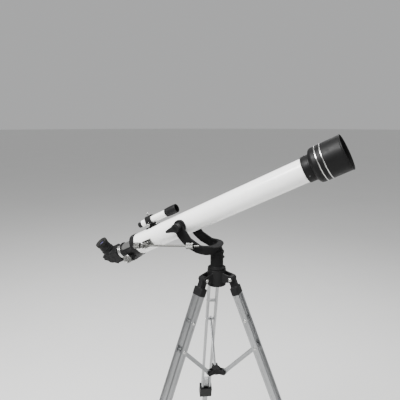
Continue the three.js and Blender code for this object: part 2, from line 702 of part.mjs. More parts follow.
function rodBracket() {
  const pad = block([-15, 15], [-TUBE_RADIUS - 4, -TUBE_RADIUS + 8], [-11, 11]);
  const neck = alongY(rod(5.5, -ROD_SIDE + ROD_EYE_HALF + 1, -TUBE_RADIUS));
  const stud = alongY(rod(STUD_RADIUS, -ROD_SIDE - 4, -TUBE_RADIUS));
  const tubeRoom = rod(TUBE_RADIUS + GAP, -30, 30, ROUND).translate(0, 0, ROD_DROP);
  const bracket = cut(join(pad, neck, stud), tubeRoom);
  return bracket.translate(-ROD_BACK, 0, -ROD_DROP);
}

// The rod lies along +X from its stud, which it swings on.
function altitudeRod() {
  const shaft = rod(ROD_RADIUS, -34, ROD_LENGTH);
  const eye = alongY(rod(ROD_EYE_RADIUS, -ROD_EYE_HALF, ROD_EYE_HALF, 24));
  const eyeBore = alongY(rod(STUD_RADIUS + GAP, 3 - ROD_EYE_HALF, ROD_EYE_HALF + 1));
  return cut(join(shaft, eye), eyeBore);
}

function addRod(tubeGroup) {
  add(tubeGroup, "rod_bracket", "chrome", rodBracket());
  const stud = pivot(tubeGroup, "rod_swing", -ROD_BACK, -ROD_SIDE, -ROD_DROP);
  const tilt = rad(ALTITUDE);
  const studX = -ROD_BACK * Math.cos(tilt) + ROD_DROP * Math.sin(tilt);
  const studZ = -ROD_BACK * Math.sin(tilt) - ROD_DROP * Math.cos(tilt);
  const slope = Math.atan2(-CLAMP_DROP - studZ, CLAMP_AHEAD - studX);
  stud.rotation.y = tilt - slope;
  add(stud, "altitude_rod", "chrome", altitudeRod());
  const wheel = pivot(stud, "rod_wheel_turn", 0, 0, 0);
  const grip = cut(ridged(WHEEL_RADIUS, -31, -12, 16), rod(ROD_RADIUS + GAP, -40, 0));
  add(wheel, "rod_wheel", "chrome", grip);
  return slope;
}

// ---- Fork head ----

// The fork seen from the front: two arms and the bowl that joins them, drawn along the arms' slope.
function forkArms() {
  const run = Math.hypot(AXIS_BACK, ARM_DROP);
  const bottom = run + 6;
  const bend = 34;
  const inner = ARM_INNER;
  const outer = ARM_OUTER;
  const base = bottom - 17;
  const right = [
    ...arc(bottom - bend, outer - bend, bend, 0, 90, 6),
    [-20, outer],
    [-20, inner],
    ...arc(base - bend + 6, inner - bend + 6, bend - 6, 90, 0, 6),
  ];
  const left = right.map(([along, across]) => [along, -across]).reverse();
  const shape = slab([...right, ...left], -60, 60).rotateX(-Math.PI / 2);
  return shape.rotateY(Math.atan2(ARM_DROP, AXIS_BACK));
}

// The fork seen from the side: round eyes at the top, bowed arms, and a foot over the post.
function forkSide() {
  const share = ([ahead, down]) => [ahead * AXIS_BACK, -down * AXIS_HEIGHT];
  const eye = arc(0, 0, FORK_EYE_RADIUS, 30, 215, 10);
  const foot = [
    [AXIS_BACK - 16, 1 - AXIS_HEIGHT],
    [AXIS_BACK + 16, 1 - AXIS_HEIGHT],
    [AXIS_BACK + 22, 9 - AXIS_HEIGHT],
    [AXIS_BACK + 20, 17 - AXIS_HEIGHT],
    [AXIS_BACK + 11, 23 - AXIS_HEIGHT],
    [AXIS_BACK - 2, 26 - AXIS_HEIGHT],
  ];
  const outline = [...eye, ...FORK_LOWER_EDGE.map(share), ...foot, ...FORK_UPPER_EDGE.map(share)];
  return slab(outline, -ARM_OUTER - 5, ARM_OUTER + 5);
}

function yokeFork() {
  const arms = common(forkArms(), forkSide()).translate(-AXIS_BACK, 0, AXIS_HEIGHT);
  const lug = alongY(rod(7, -ARM_OUTER, -ARM_INNER));
  const clampX = CLAMP_AHEAD - AXIS_BACK;
  const clampZ = AXIS_HEIGHT - CLAMP_DROP;
  const ring = alongZ(rod(FORK_RING_RADIUS, 0, FORK_RING_HEIGHT, ROUND));
  const neck = alongZ(turned([
    [FORK_RING_HEIGHT - 1, 0],
    [FORK_RING_HEIGHT - 1, FORK_RING_RADIUS - 2],
    [FORK_RING_HEIGHT + 8, FORK_RING_RADIUS - 5],
    [FORK_RING_HEIGHT + 8, 0],
  ]));
  const spindle = alongZ(rod(SPINDLE_RADIUS, -SPINDLE_LENGTH, 1, 24));
  const body = join(arms, lug.translate(clampX, 0, clampZ), ring, neck, spindle);
  const eyes = pin(PIVOT_BOLT_RADIUS + GAP, -60, 60, -AXIS_BACK, AXIS_HEIGHT);
  const clampHole = alongY(rod(STUD_RADIUS + GAP, -60, 0)).translate(clampX, 0, clampZ);
  return cut(body, eyes, clampHole);
}

// A hand knob with one long wing, about the altitude axis; it is drawn for the +Y side.
function altitudeKnob(side) {
  const inside = ARM_OUTER + 0.6;
  const outside = inside + KNOB_LENGTH;
  const bolt = alongY(rod(PIVOT_BOLT_RADIUS, BOSS_FACE - 2.5, inside + 2));
  const boss = alongY(rod(KNOB_RADIUS, inside, outside, 24));
  const wing = slab([
    ...arc(0, 0, KNOB_RADIUS - 1, 60, -60, 3).map(([x, z]) => [-x, z]).reverse(),
    ...arc(-KNOB_LEVER + 4, 0, 4, -90, -270, 5).reverse(),
  ], inside + 2, outside - 1.5);
  return join(bolt, boss, wing).rotateX(side < 0 ? Math.PI : 0).rotateY(rad(-KNOB_REST));
}

// The rod's clamp: a sleeve along +X that swivels on a stud in the fork.
function rodClamp() {
  const sleeve = ridged(CLAMP_RADIUS, -CLAMP_LENGTH / 2, CLAMP_LENGTH / 2, 16);
  const stud = alongY(rod(STUD_RADIUS, CLAMP_RADIUS - 2, ROD_SIDE - ARM_INNER - 0.5));
  const bore = rod(ROD_RADIUS + CLAMP_PLAY, -CLAMP_LENGTH, CLAMP_LENGTH);
  return cut(join(sleeve, stud), bore);
}

// ---- Tripod head ----

function tripodHub() {
  let hub = alongZ(rod(HUB_RADIUS, -HUB_DEPTH, HUB_RISE, ROUND));
  for (const turn of FOOT_TURNS) {
    for (const side of [-1, 1]) {
      const near = side * EAR_INNER + side * GAP;
      const far = side * EAR_OUTER;
      const ear = slab([
        [0, -16],
        [HINGE_RADIUS, -9],
        ...arc(HINGE_RADIUS, 0, 9, -90, 90, 6),
        [20, 16],
        [0, 16],
      ], Math.min(near, far), Math.max(near, far));
      hub = join(hub, ear.rotateZ(rad(turn)));
    }
    hub = join(hub, pin(HINGE_PIN_RADIUS, -EAR_OUTER, EAR_OUTER, HINGE_RADIUS, 0).rotateZ(rad(turn)));
  }
  return hub.translate(0, 0, HINGE_HEIGHT);
}

function mountPost() {
  const base = HINGE_HEIGHT + HUB_RISE + GAP;
  const top = base + POST_HEIGHT;
  const floor = top - SPINDLE_LENGTH - 2;
  const post = alongZ(turned([
    [base, 0],
    [base, HUB_RADIUS - 1],
    [base + 5, HUB_RADIUS - 1],
    [base + 9, POST_RADIUS],
    [top, POST_RADIUS],
    [top, SPINDLE_RADIUS + GAP],
    [floor, SPINDLE_RADIUS + GAP],
    [floor, 0],
  ]));
  const lockHole = alongY(rod(STUD_RADIUS + GAP, 0, POST_RADIUS + 12)).translate(0, 0, top - AZIMUTH_LOCK_DOWN);
  return cut(post, lockHole);
}

// A lobed hand knob along +X, with its bolt.
function lobedKnob(boltFrom, inside, outside, radius) {
  const lobes = [];
  for (let i = 0; i < 18; i++) {
    const angle = (2 * Math.PI * i) / 18;
    const reach = i % 3 ? radius : radius - 2.6;
    lobes.push([reach * Math.cos(angle), reach * Math.sin(angle)]);
  }
  const head = alongZ(slab(lobes, inside, outside).rotateX(Math.PI / 2)).rotateY(Math.PI);
  return join(rod(STUD_RADIUS, boltFrom, inside + 1), head);
}

function addTripodHead(model) {
  add(model, "tripod_hub", "black_plastic", tripodHub());
  add(model, "mount_post", "black_paint", mountPost());
  const lock = pivot(model, "azimuth_lock_turn", 0, 0, FORK_HEIGHT - GAP - AZIMUTH_LOCK_DOWN);
  const knob = lobedKnob(SPINDLE_RADIUS + 1, POST_RADIUS + 2, POST_RADIUS + 15, 11);
  add(lock, "azimuth_lock_knob", "black_plastic", alongY(knob));
}

// ---- Legs ----

function upperLeg() {
  const half = BAR_DEPTH / 2;
  const tongueHalf = CHANNEL_WIDTH / 2 - 0.5;
  const tongue = join(
    alongY(rod(half, -tongueHalf, tongueHalf)),
    block([-half, half], [-tongueHalf, tongueHalf], [-40, 0]),
  );
  const bridge = block([-half, half], [-BAR_OUTER, BAR_OUTER], [-52, -24]);
  const bars = [-1, 1].map((side) => {
    const edges = [(side * CHANNEL_WIDTH) / 2, side * BAR_OUTER].sort((a, b) => a - b);
    return block([-half, half], edges, [-UPPER_LENGTH, -50]);
  });
  const spacer = pin(5, -BAR_OUTER + 2, BAR_OUTER - 2, 0, -120);
  const axle = pin(BRACE_AXLE_RADIUS, -BAR_OUTER - 1.5, BAR_OUTER + 1.5, 0, -BRACE_DOWN);
  const hingeHole = pin(HINGE_PIN_RADIUS + GAP, -30, 30, 0, 0);
  return cut(join(tongue, bridge, ...bars, spacer, axle), hingeHole);
}

function legClamp() {
  const y = BAR_OUTER + CLAMP_BLOCK_WALL;
  const bottom = -LEG_LOCK_DOWN - 15;
  const body = block([-BLOCK_X, BLOCK_X], [-y, y], [bottom, bottom + CLAMP_BLOCK_LENGTH]);
  const barX = BAR_DEPTH / 2 + GAP;
  const barY = BAR_OUTER + GAP;
  const pocket = block([-barX, barX], [-barY, barY], [-UPPER_LENGTH - GAP, -UPPER_LENGTH + 40]);
  const slideX = LOWER_DEPTH / 2 + GAP;
  const slideY = LOWER_WIDTH / 2 + GAP;
  const channel = block([-slideX, slideX], [-slideY, slideY], [bottom - 10, -UPPER_LENGTH + 10]);
  const lockHole = rod(STUD_RADIUS + GAP, 0, BLOCK_X + 5).translate(0, 0, -LEG_LOCK_DOWN);
  return cut(body, pocket, channel, lockHole);
}

function legFoot() {
  const y = LOWER_WIDTH / 2 + FOOT_WALL;
  const top = LOWER_END + FOOT_LENGTH - FOOT_SOLE;
  const body = block([-FOOT_X, FOOT_X], [-y, y], [-LEG_REACH - FOOT_X, top]);
  const slideX = LOWER_DEPTH / 2 + GAP;
  const slideY = LOWER_WIDTH / 2 + GAP;
  const pocket = block([-slideX, slideX], [-slideY, slideY], [LOWER_END - GAP, top + 5]);
  const floor = block([-90, 90], [-90, 90], [-60, 0]).rotateY(rad(LEG_ANGLE));
  return cut(body, pocket, floor.translate(0, 0, -LEG_REACH));
}

function lowerLeg() {
  const x = LOWER_DEPTH / 2;
  const y = LOWER_WIDTH / 2;
  return block([-x, x], [-y, y], [LOWER_END, -LOWER_TOP]);
}

// A flat stay along +X with an eye at each end; the inner eye has play for the spreader's pins.
function brace() {
  const half = BRACE_THICKNESS / 2;
  const bar = block([0, BRACE_LENGTH], [-half, half], [-5.5, 5.5]);
  const outerEye = alongY(rod(8, -half, half, 24));
  const innerEye = alongY(rod(8, -half, half, 24)).translate(BRACE_LENGTH, 0, 0);
  const outerHole = pin(BRACE_AXLE_RADIUS + GAP, -9, 9, 0, 0);
  const innerHole = pin(SPREADER_PIN_RADIUS + SPREADER_PLAY, -9, 9, BRACE_LENGTH, 0);
  return cut(join(bar, outerEye, innerEye), outerHole, innerHole);
}

function spreaderHub() {
  const near = BRACE_THICKNESS / 2 + 1.8;
  const far = near + 3;
  let hub = alongZ(rod(13, -8, 8, 24));
  for (const turn of FOOT_TURNS) {
    for (const side of [-1, 1]) {
      const ear = slab([
        [6, -7],
        ...arc(SPREADER_RADIUS, 0, 7, -90, 90, 6),
        [6, 7],
      ], side < 0 ? -far : near, side < 0 ? -near : far);
      hub = join(hub, ear.rotateZ(rad(turn)));
    }
    hub = join(hub, pin(SPREADER_PIN_RADIUS, -far, far, SPREADER_RADIUS, 0).rotateZ(rad(turn)));
  }
  return hub;
}

function addLeg(model, number, turn) {
  const spoke = pivot(model, "", 0, 0, 0);
  spoke.rotation.z = rad(turn);
  const leg = pivot(spoke, `leg_${number}_fold`, HINGE_RADIUS, 0, HINGE_HEIGHT);
  leg.rotation.y = -rad(LEG_ANGLE);
  add(leg, `leg_${number}_upper`, "aluminium", upperLeg());
  add(leg, `leg_${number}_clamp`, "black_plastic", legClamp());
  const lock = pivot(leg, `leg_${number}_lock_turn`, 0, 0, -LEG_LOCK_DOWN);
  const knob = lobedKnob(LOWER_DEPTH / 2 + 1, BLOCK_X + 1, BLOCK_X + 12, 12);
  add(lock, `leg_${number}_lock_knob`, "black_plastic", knob);
  const slide = pivot(leg, `leg_${number}_slide`, 0, 0, 0);
  add(slide, `leg_${number}_lower`, "aluminium", lowerLeg());
  add(slide, `leg_${number}_foot`, "rubber", legFoot());
  const stay = pivot(leg, `brace_${number}_swing`, 0, 0, -BRACE_DOWN);
  stay.rotation.y = Math.PI - BRACE_SLOPE + rad(LEG_ANGLE);
  add(stay, `brace_${number}`, "aluminium", brace());
}

// ---- The whole telescope ----

function telescope() {
  const model = new THREE.Group();
  addTripodHead(model);
  FOOT_TURNS.forEach((turn, index) => addLeg(model, index + 1, turn));
  const spreader = pivot(model, "spreader_level", 0, 0, SPREADER_HEIGHT);
  add(spreader, "spreader_hub", "black_plastic", spreaderHub());

  const fork = pivot(model, "azimuth", 0, 0, FORK_HEIGHT);
  add(fork, "yoke_fork", "black_paint", yokeFork());
  const leftKnob = pivot(fork, "altitude_lock_left_turn", -AXIS_BACK, 0, AXIS_HEIGHT);
  add(leftKnob, "altitude_knob_left", "black_plastic", altitudeKnob(1));
  const rightKnob = pivot(fork, "altitude_lock_right_turn", -AXIS_BACK, 0, AXIS_HEIGHT);
  add(rightKnob, "altitude_knob_right", "black_plastic", altitudeKnob(-1));

  const tubeGroup = pivot(fork, "altitude", -AXIS_BACK, 0, AXIS_HEIGHT);
  tubeGroup.rotation.y = -rad(ALTITUDE);
  const inner = TUBE_RADIUS - TUBE_WALL;
  add(tubeGroup, "main_tube", "white_paint", tube(inner, TUBE_RADIUS, REAR, TUBE_AHEAD));
  add(tubeGroup, "pivot_plate_left", "black_paint", pivotPlate(1));
  add(tubeGroup, "pivot_plate_right", "black_paint", pivotPlate(-1));
  addObjective(tubeGroup);
  addDewShield(tubeGroup);
  addDiagonal(addFocuser(tubeGroup));
  addFinder(tubeGroup);
  const rodSlope = addRod(tubeGroup);

  const clampX = CLAMP_AHEAD - AXIS_BACK;
  const clamp = pivot(fork, "rod_clamp_swivel", clampX, -ROD_SIDE, AXIS_HEIGHT - CLAMP_DROP);
  clamp.rotation.y = -rodSlope;
  add(clamp, "rod_clamp", "chrome", rodClamp());
  return model;
}

// Moves the model so that the origin is on the floor, in the middle of its bounding box.
function centred(model) {
  const box = new THREE.Box3().setFromObject(model, true);
  const middle = box.getCenter(new THREE.Vector3());
  model.position.set(-middle.x, -middle.y, -box.min.z);
  const root = new THREE.Group();
  root.add(model);
  return root;
}

export default centred(telescope());
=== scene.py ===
"""A 60 mm refractor on a slanted fork head and a folding tripod, dressed around its CAD frame."""
import json
import math

import bmesh
import bpy
from mathutils import Matrix, Vector


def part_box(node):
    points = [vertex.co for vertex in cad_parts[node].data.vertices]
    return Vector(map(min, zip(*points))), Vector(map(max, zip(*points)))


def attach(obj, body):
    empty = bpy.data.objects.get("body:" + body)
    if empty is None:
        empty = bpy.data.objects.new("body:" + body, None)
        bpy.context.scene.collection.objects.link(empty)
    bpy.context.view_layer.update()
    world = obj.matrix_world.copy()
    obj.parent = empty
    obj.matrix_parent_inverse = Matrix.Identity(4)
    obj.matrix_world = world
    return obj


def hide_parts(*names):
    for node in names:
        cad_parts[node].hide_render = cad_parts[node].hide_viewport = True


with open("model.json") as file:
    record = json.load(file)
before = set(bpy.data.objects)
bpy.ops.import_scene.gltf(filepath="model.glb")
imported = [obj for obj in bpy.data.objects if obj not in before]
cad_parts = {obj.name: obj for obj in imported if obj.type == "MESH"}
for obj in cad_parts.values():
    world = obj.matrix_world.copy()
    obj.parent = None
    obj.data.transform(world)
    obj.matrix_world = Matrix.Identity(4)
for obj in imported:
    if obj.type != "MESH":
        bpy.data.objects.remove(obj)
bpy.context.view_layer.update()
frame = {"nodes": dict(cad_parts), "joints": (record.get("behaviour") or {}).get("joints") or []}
NODES = frame["nodes"]
JOINTS = {joint["name"]: joint for joint in frame["joints"]}
LEGS = (1, 2, 3)
MM = 0.001

# Camera and stage
CAMERA_TURN = 24.0  # degrees round from the telescope's right-hand side, towards its front
CAMERA_RISE = 10.7
CAMERA_DISTANCE = 1.222
CAMERA_LENS = 39.0
CAMERA_AIM = (0.043, 0.067)  # metres from the altitude axis: to the camera's right, and up
FLOOR_RADIUS = 60.0  # metres

# Mesh density
SIDES = 112
SMALL_SIDES = 48
CREASE_ANGLE = 38  # degrees

# Detail that the frame doesn't hold, in millimetres
TUBE_WALL = 1.6
SHIELD_RIB_PITCH = 2.2
SHIELD_RIB_DEPTH = 0.5
ROD_RADIUS = 2.8
CLAMP_RADIUS = 8.6
CLAMP_BORE = 6.2
POST_RADIUS = 18.0
POST_BORE = 10.3
POST_BORE_DEPTH = 30
LEG_OUTER = 16.0  # a leg's middle plane to its bars' outer faces
LEG_CHANNEL = 9.0  # a leg's middle plane to its bars' inner faces
SPACER_DOWN = 120.0  # hinge to the spacer between the bars
AXLE_DOWN = 200.0  # hinge to the brace's axle
FLANKS = ((1, "left"), (-1, "right"))


# ---- Places: local frames, measured on the CAD nodes ----


class Place:
    """A local frame in the row frame: an origin and the directions of its X and Y axes."""

    def __init__(self, origin, x, y):
        x = Vector(x).normalized()
        z = x.cross(Vector(y)).normalized()
        y = z.cross(x)
        rotation = Matrix((x, y, z)).transposed().to_4x4()
        self.matrix = Matrix.Translation(Vector(origin)) @ rotation
        self.inverse = self.matrix.inverted()

    def points(self, node):
        """The CAD node's corners here, in millimetres."""
        return [self.inverse @ vertex.co / MM for vertex in NODES[node].data.vertices]

    def span(self, node):
        """The CAD node's lowest and highest corner here, in millimetres."""
        points = self.points(node)
        low = Vector(min(p[i] for p in points) for i in range(3))
        high = Vector(max(p[i] for p in points) for i in range(3))
        return low, high

    def reach(self, node):
        """How far the CAD node reaches from this place's X axis, in millimetres."""
        return max(math.hypot(p.y, p.z) for p in self.points(node))

    def bore(self, node):
        """How near the CAD node comes to this place's X axis, in millimetres."""
        return min(math.hypot(p.y, p.z) for p in self.points(node))

    def at(self, x, y, z, towards=None):
        """A place with its origin at a point here, its X axis along a direction here."""
        turn = self.matrix.to_3x3()
        origin = self.matrix @ (Vector((x, y, z)) * MM)
        axis = turn @ Vector(towards or (1, 0, 0))
        other = turn @ Vector((0, 1, 0))
        if abs(axis.normalized().dot(other)) > 0.9:
            other = turn @ Vector((0, 0, 1))
        return Place(origin, axis, other)


def joint_place(name, x, y):
    return Place(JOINTS[name]["pos_m"], x, y)


def axis(name):
    return Vector(JOINTS[name]["axis"])


ACROSS = Vector((0, 1, 0))
ROW = Place((0, 0, 0), (1, 0, 0), ACROSS)
TUBE = joint_place("altitude", -axis("focus_slide"), ACROSS)
FORK = joint_place("azimuth", (1, 0, 0), ACROSS)
ROD = joint_place("rod_swing", axis("rod_wheel_turn"), ACROSS)
CLAMP = joint_place("rod_clamp_swivel", axis("rod_wheel_turn"), ACROSS)
PINION = joint_place("focus_knob_turn", -axis("focus_slide"), ACROSS)
NOSE_WAY = axis("diagonal_turn")
EYE_WAY = axis("eyepiece_slide")
DIAGONAL = joint_place("diagonal_turn", NOSE_WAY, EYE_WAY.cross(NOSE_WAY))
EYEPIECE = joint_place("diagonal_turn", EYE_WAY, NOSE_WAY)
HUB = Place((JOINTS["azimuth"]["pos_m"][0], 0, JOINTS["leg_1_fold"]["pos_m"][2]), (1, 0, 0), ACROSS)
UPRIGHT = Place(HUB.matrix.translation, (0, 0, 1), ACROSS)
SPREADER = Place((HUB.matrix.translation.x, 0, JOINTS["spreader_level"]["pos_m"][2]), (1, 0, 0), ACROSS)


def on_tube(x, radius, degrees):
    """A place that looks outward from a circle round the tube, at an angle from the left side."""
    angle = math.radians(degrees)
    outward = (0, math.cos(angle), math.sin(angle))
    return TUBE.at(x, radius * outward[1], radius * outward[2], outward)


def leg_place(number):
    """A leg's frame: the hinge at the origin, X outward, Z up along the leg."""
    across = axis(f"leg_{number}_fold")
    upward = -axis(f"leg_{number}_slide")
    return joint_place(f"leg_{number}_fold", across.cross(upward), across)


def brace_place(number):
    """A brace's frame: its leg axle at the origin, X towards the spreader."""
    low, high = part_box(f"brace_{number}")
    start = Vector(JOINTS[f"brace_{number}_swing"]["pos_m"])
    middle = (Vector(low) + Vector(high)) / 2
    return Place(start, middle - start, axis(f"leg_{number}_fold"))


# ---- Meshes, drawn in millimetres in a place's own axes ----


def soften(corners, radius, closed, steps=3):
    """An outline with its corners rounded off."""
    corners = [Vector(corner) for corner in corners]
    last = len(corners) - 1
    points = []
    for i, corner in enumerate(corners):
        before = corners[i - 1] - corner
        after = corners[(i + 1) % len(corners)] - corner
        straight = before.length < 1e-6 or after.length < 1e-6 or before.angle(after) > math.radians(168)
        if straight or (not closed and i in (0, last)):
            points.append(corner)
            continue
        cut = min(radius, 0.42 * before.length, 0.42 * after.length)
        start = corner + before.normalized() * cut
        end = corner + after.normalized() * cut
        for step in range(steps + 1):
            t = step / steps
            points.append(start.lerp(corner, t).lerp(corner.lerp(end, t), t))
    return points


def turned(profile, soft=0.4, sides=SIDES, ridges=None):
    """A solid turned about X. The profile lists (x, radius); it starts and ends on the axis, or it is
    a closed loop round a bore. ridges is (from x, to x, how many, how deep) for a ridged grip."""
    on_axis = profile[0][1] == 0 and profile[-1][1] == 0
    points = soften(profile, soft, closed=not on_axis)
    if ridges:
        sides = ridges[2] * 6
    mesh = bmesh.new()
    rings = []
    for x, radius in points:
        if radius < 1e-6:
            rings.append([mesh.verts.new((x * MM, 0, 0))] * sides)
            continue
        ring = []
        for side in range(sides):
            angle = 2 * math.pi * side / sides
            reach = radius
            if ridges and ridges[0] <= x <= ridges[1]:
                reach -= ridges[3] * (0.5 - 0.5 * math.cos(ridges[2] * angle)) ** 0.6
            ring.append(mesh.verts.new((x * MM, reach * math.cos(angle) * MM, reach * math.sin(angle) * MM)))
        rings.append(ring)
    pairs = zip(rings, rings[1:] + rings[:1]) if not on_axis else zip(rings, rings[1:])
    for low, high in pairs:
        for side in range(sides):
            after = (side + 1) % sides
            corners = [low[side], low[after], high[after], high[side]]
            corners = [v for i, v in enumerate(corners) if v not in corners[:i]]
            if len(corners) > 2:
                mesh.faces.new(corners)
    bmesh.ops.recalc_face_normals(mesh, faces=mesh.faces)
    return mesh


def rod(radius, start, end, soft=0.4, sides=SMALL_SIDES):
    return turned([(start, 0), (start, radius), (end, radius), (end, 0)], soft, sides)


def tube(inner, outer, start, end, soft=0.4, sides=SIDES):
    return turned([(start, inner), (start, outer), (end, outer), (end, inner)], soft, sides)


def slab(outline, low, high, bevel=0.6, round_corners=0.0):
    """An outline of (x, z) corners, as thick as from one Y to the other, with bevelled edges."""
    points = soften(outline, round_corners, True, 5) if round_corners else outline
    mesh = bmesh.new()
    bottom = [mesh.verts.new((x * MM, low * MM, z * MM)) for x, z in points]
    face = mesh.faces.new(bottom)
    grown = bmesh.ops.extrude_face_region(mesh, geom=[face])["geom"]
    top = [item for item in grown if isinstance(item, bmesh.types.BMVert)]
    bmesh.ops.translate(mesh, verts=top, vec=(0, (high - low) * MM, 0))
    bmesh.ops.recalc_face_normals(mesh, faces=mesh.faces)
    if bevel:
        edges = [e for e in mesh.edges if e.is_manifold and e.calc_face_angle() > math.radians(25)]
        bmesh.ops.bevel(mesh, geom=edges, offset=bevel * MM, segments=3, profile=0.5, affect="EDGES")
    return mesh


def block(low, high, bevel=0.6):
    outline = [(low[0], low[2]), (high[0], low[2]), (high[0], high[2]), (low[0], high[2])]
    return slab(outline, low[1], high[1], bevel)


def moved(mesh, x=0.0, y=0.0, z=0.0, turn=None):
    """The same mesh moved in millimetres, after a turn given as (degrees, axis)."""
    if turn:
        mesh.transform(Matrix.Rotation(math.radians(turn[0]), 4, turn[1]))
    mesh.transform(Matrix.Translation(Vector((x, y, z)) * MM))
    return mesh


def along_y(mesh):
    return moved(mesh, turn=(90, "Z"))


def along_z(mesh):
    return moved(mesh, turn=(-90, "Y"))


def merged(*meshes):
    whole = bmesh.new()
    for mesh in meshes:
        data = bpy.data.meshes.new("part")
        mesh.to_mesh(data)
        whole.from_mesh(data)
        mesh.free()
        bpy.data.meshes.remove(data)
    return whole


def node_mesh(place, *nodes):
    """A copy of CAD nodes' shape, in a place's own axes."""
    whole = bmesh.new()
    for node in nodes:
        copy = NODES[node].data.copy()
        copy.transform(place.inverse)
        whole.from_mesh(copy)
        bpy.data.meshes.remove(copy)
    bmesh.ops.remove_doubles(whole, verts=whole.verts, dist=1e-6)
    return whole


def in_row(mesh, place):
    """The mesh in the row frame's own axes, so that its box is no larger than it is."""
    mesh.transform(place.matrix)
    return mesh


def to_data(name, mesh, crease=CREASE_ANGLE):
    data = bpy.data.meshes.new(name)
    mesh.to_mesh(data)
    mesh.free()
    data.polygons.foreach_set("use_smooth", [True] * len(data.polygons))
    data.set_sharp_from_angle(angle=math.radians(crease))
    return data


def evaluated(name, holder):
    """A new mesh holding an object's shape with its modifiers applied; the object is removed."""
    bpy.context.view_layer.update()
    graph = bpy.context.evaluated_depsgraph_get()
    data = bpy.data.meshes.new_from_object(holder.evaluated_get(graph))
    data.name = name
    bpy.data.objects.remove(holder)
    return data


def reopened(data):
    mesh = bmesh.new()
    mesh.from_mesh(data)
    bpy.data.meshes.remove(data)
    return mesh


def helper(name, mesh):
    data = bpy.data.meshes.new(name)
    mesh.to_mesh(data)
    mesh.free()
    holder = bpy.data.objects.new(name, data)
    bpy.context.scene.collection.objects.link(holder)
    return holder


def moulded(mesh, voxel=0.8, rounds=6):
    """A cast or moulded shape: its solids fused and every edge rounded over."""
    holder = helper("moulding", mesh)
    remesh = holder.modifiers.new("fuse", "REMESH")
    remesh.mode = "VOXEL"
    remesh.voxel_size = voxel * MM
    smooth = holder.modifiers.new("round", "SMOOTH")
    smooth.factor = 0.5
    smooth.iterations = rounds
    return reopened(evaluated("moulding", holder))


def carved(mesh, *cutters):
    """The mesh with other closed meshes cut out of it."""
    holder = helper("carved", mesh)
    tools = []
    for cutter in cutters:
        tool = helper("cutter", cutter)
        tools.append(tool)
        modifier = holder.modifiers.new("cut", "BOOLEAN")
        modifier.operation = "DIFFERENCE"
        modifier.solver = "EXACT"
        modifier.object = tool
    data = evaluated("carved", holder)
    for tool in tools:
        bpy.data.objects.remove(tool)
    return reopened(data)


# ---- Finishes: procedural materials ----


class Finish:
    """A node material with one Principled shader, and short ways to add noise, bump and wear."""

    def __init__(self, name, **sockets):
        self.material = bpy.data.materials.new(name)
        self.material.use_nodes = True
        self.tree = self.material.node_tree
        self.shader = self.tree.nodes["Principled BSDF"]
        for socket, value in sockets.items():
            self.shader.inputs[socket.replace("_", " ")].default_value = value
        self.coordinates = self.tree.nodes.new("ShaderNodeTexCoord").outputs["Object"]
        self.height = None

    def link(self, source, target):
        self.tree.links.new(source, target)

    def noise(self, scale, detail=3.0, roughness=0.55, stretch=None):
        """A noise pattern; stretch is its (x, y, z) scale for grain that runs one way."""
        source = self.coordinates
        if stretch:
            mapping = self.tree.nodes.new("ShaderNodeMapping")
            mapping.inputs["Scale"].default_value = stretch
            self.link(source, mapping.inputs["Vector"])
            source = mapping.outputs["Vector"]
        noise = self.tree.nodes.new("ShaderNodeTexNoise")
        noise.inputs["Scale"].default_value = scale
        noise.inputs["Detail"].default_value = detail
        noise.inputs["Roughness"].default_value = roughness
        self.link(source, noise.inputs["Vector"])
        return noise.outputs["Fac"]

    def spread(self, value, low, high, start=0.3, end=0.7):
        """The value mapped from start..end to low..high."""
        node = self.tree.nodes.new("ShaderNodeMapRange")
        for socket, number in zip(("From Min", "From Max", "To Min", "To Max"), (start, end, low, high)):
            node.inputs[socket].default_value = number
        self.link(value, node.inputs["Value"])
        return node.outputs["Result"]

    def colours(self, value, low, high):
        """A colour between two, by the value."""
        node = self.tree.nodes.new("ShaderNodeMix")
        node.data_type = "RGBA"
        node.inputs[6].default_value = (*low, 1)
        node.inputs[7].default_value = (*high, 1)
        self.link(value, node.inputs[0])
        return node.outputs[2]

    def over(self, below, above, mask):
        """One colour laid over another by a mask; above is a colour or a socket."""
        node = self.tree.nodes.new("ShaderNodeMix")
        node.data_type = "RGBA"
        self.link(mask, node.inputs[0])
        self.link(below, node.inputs[6])
        node.inputs[7].default_value = (*above, 1)
        return node.outputs[2]

    def edges(self, radius, low=0.02, high=0.2):
        """A mask that is 1 along sharp edges, broken up by noise as real rubbing is; it carries edge wear on
        most finishes and a painted edge highlight on the leg metal.
        """
        bevel = self.tree.nodes.new("ShaderNodeBevel")
        bevel.samples = 4
        bevel.inputs["Radius"].default_value = radius * MM
        normal = self.tree.nodes.new("ShaderNodeNewGeometry").outputs["Normal"]
        dot = self.tree.nodes.new("ShaderNodeVectorMath")
        dot.operation = "DOT_PRODUCT"
        self.link(bevel.outputs["Normal"], dot.inputs[0])
        self.link(normal, dot.inputs[1])
        edge = self.spread(dot.outputs["Value"], 1, 0, 1 - high, 1 - low)
        broken = self.tree.nodes.new("ShaderNodeMath")
        broken.operation = "MULTIPLY"
        self.link(edge, broken.inputs[0])
        self.link(self.spread(self.noise(260, 4), 0, 1, 0.42, 0.62), broken.inputs[1])
        return broken.outputs["Value"]

    def bump(self, value, strength, distance):
        node = self.tree.nodes.new("ShaderNodeBump")
        node.inputs["Strength"].default_value = strength
        node.inputs["Distance"].default_value = distance * MM
        self.link(value, node.inputs["Height"])
        if self.height is not None:
            self.link(self.height, node.inputs["Normal"])
        self.height = node.outputs["Normal"]
        self.link(self.height, self.shader.inputs["Normal"])

    def set(self, socket, source):
        self.link(source, self.shader.inputs[socket])


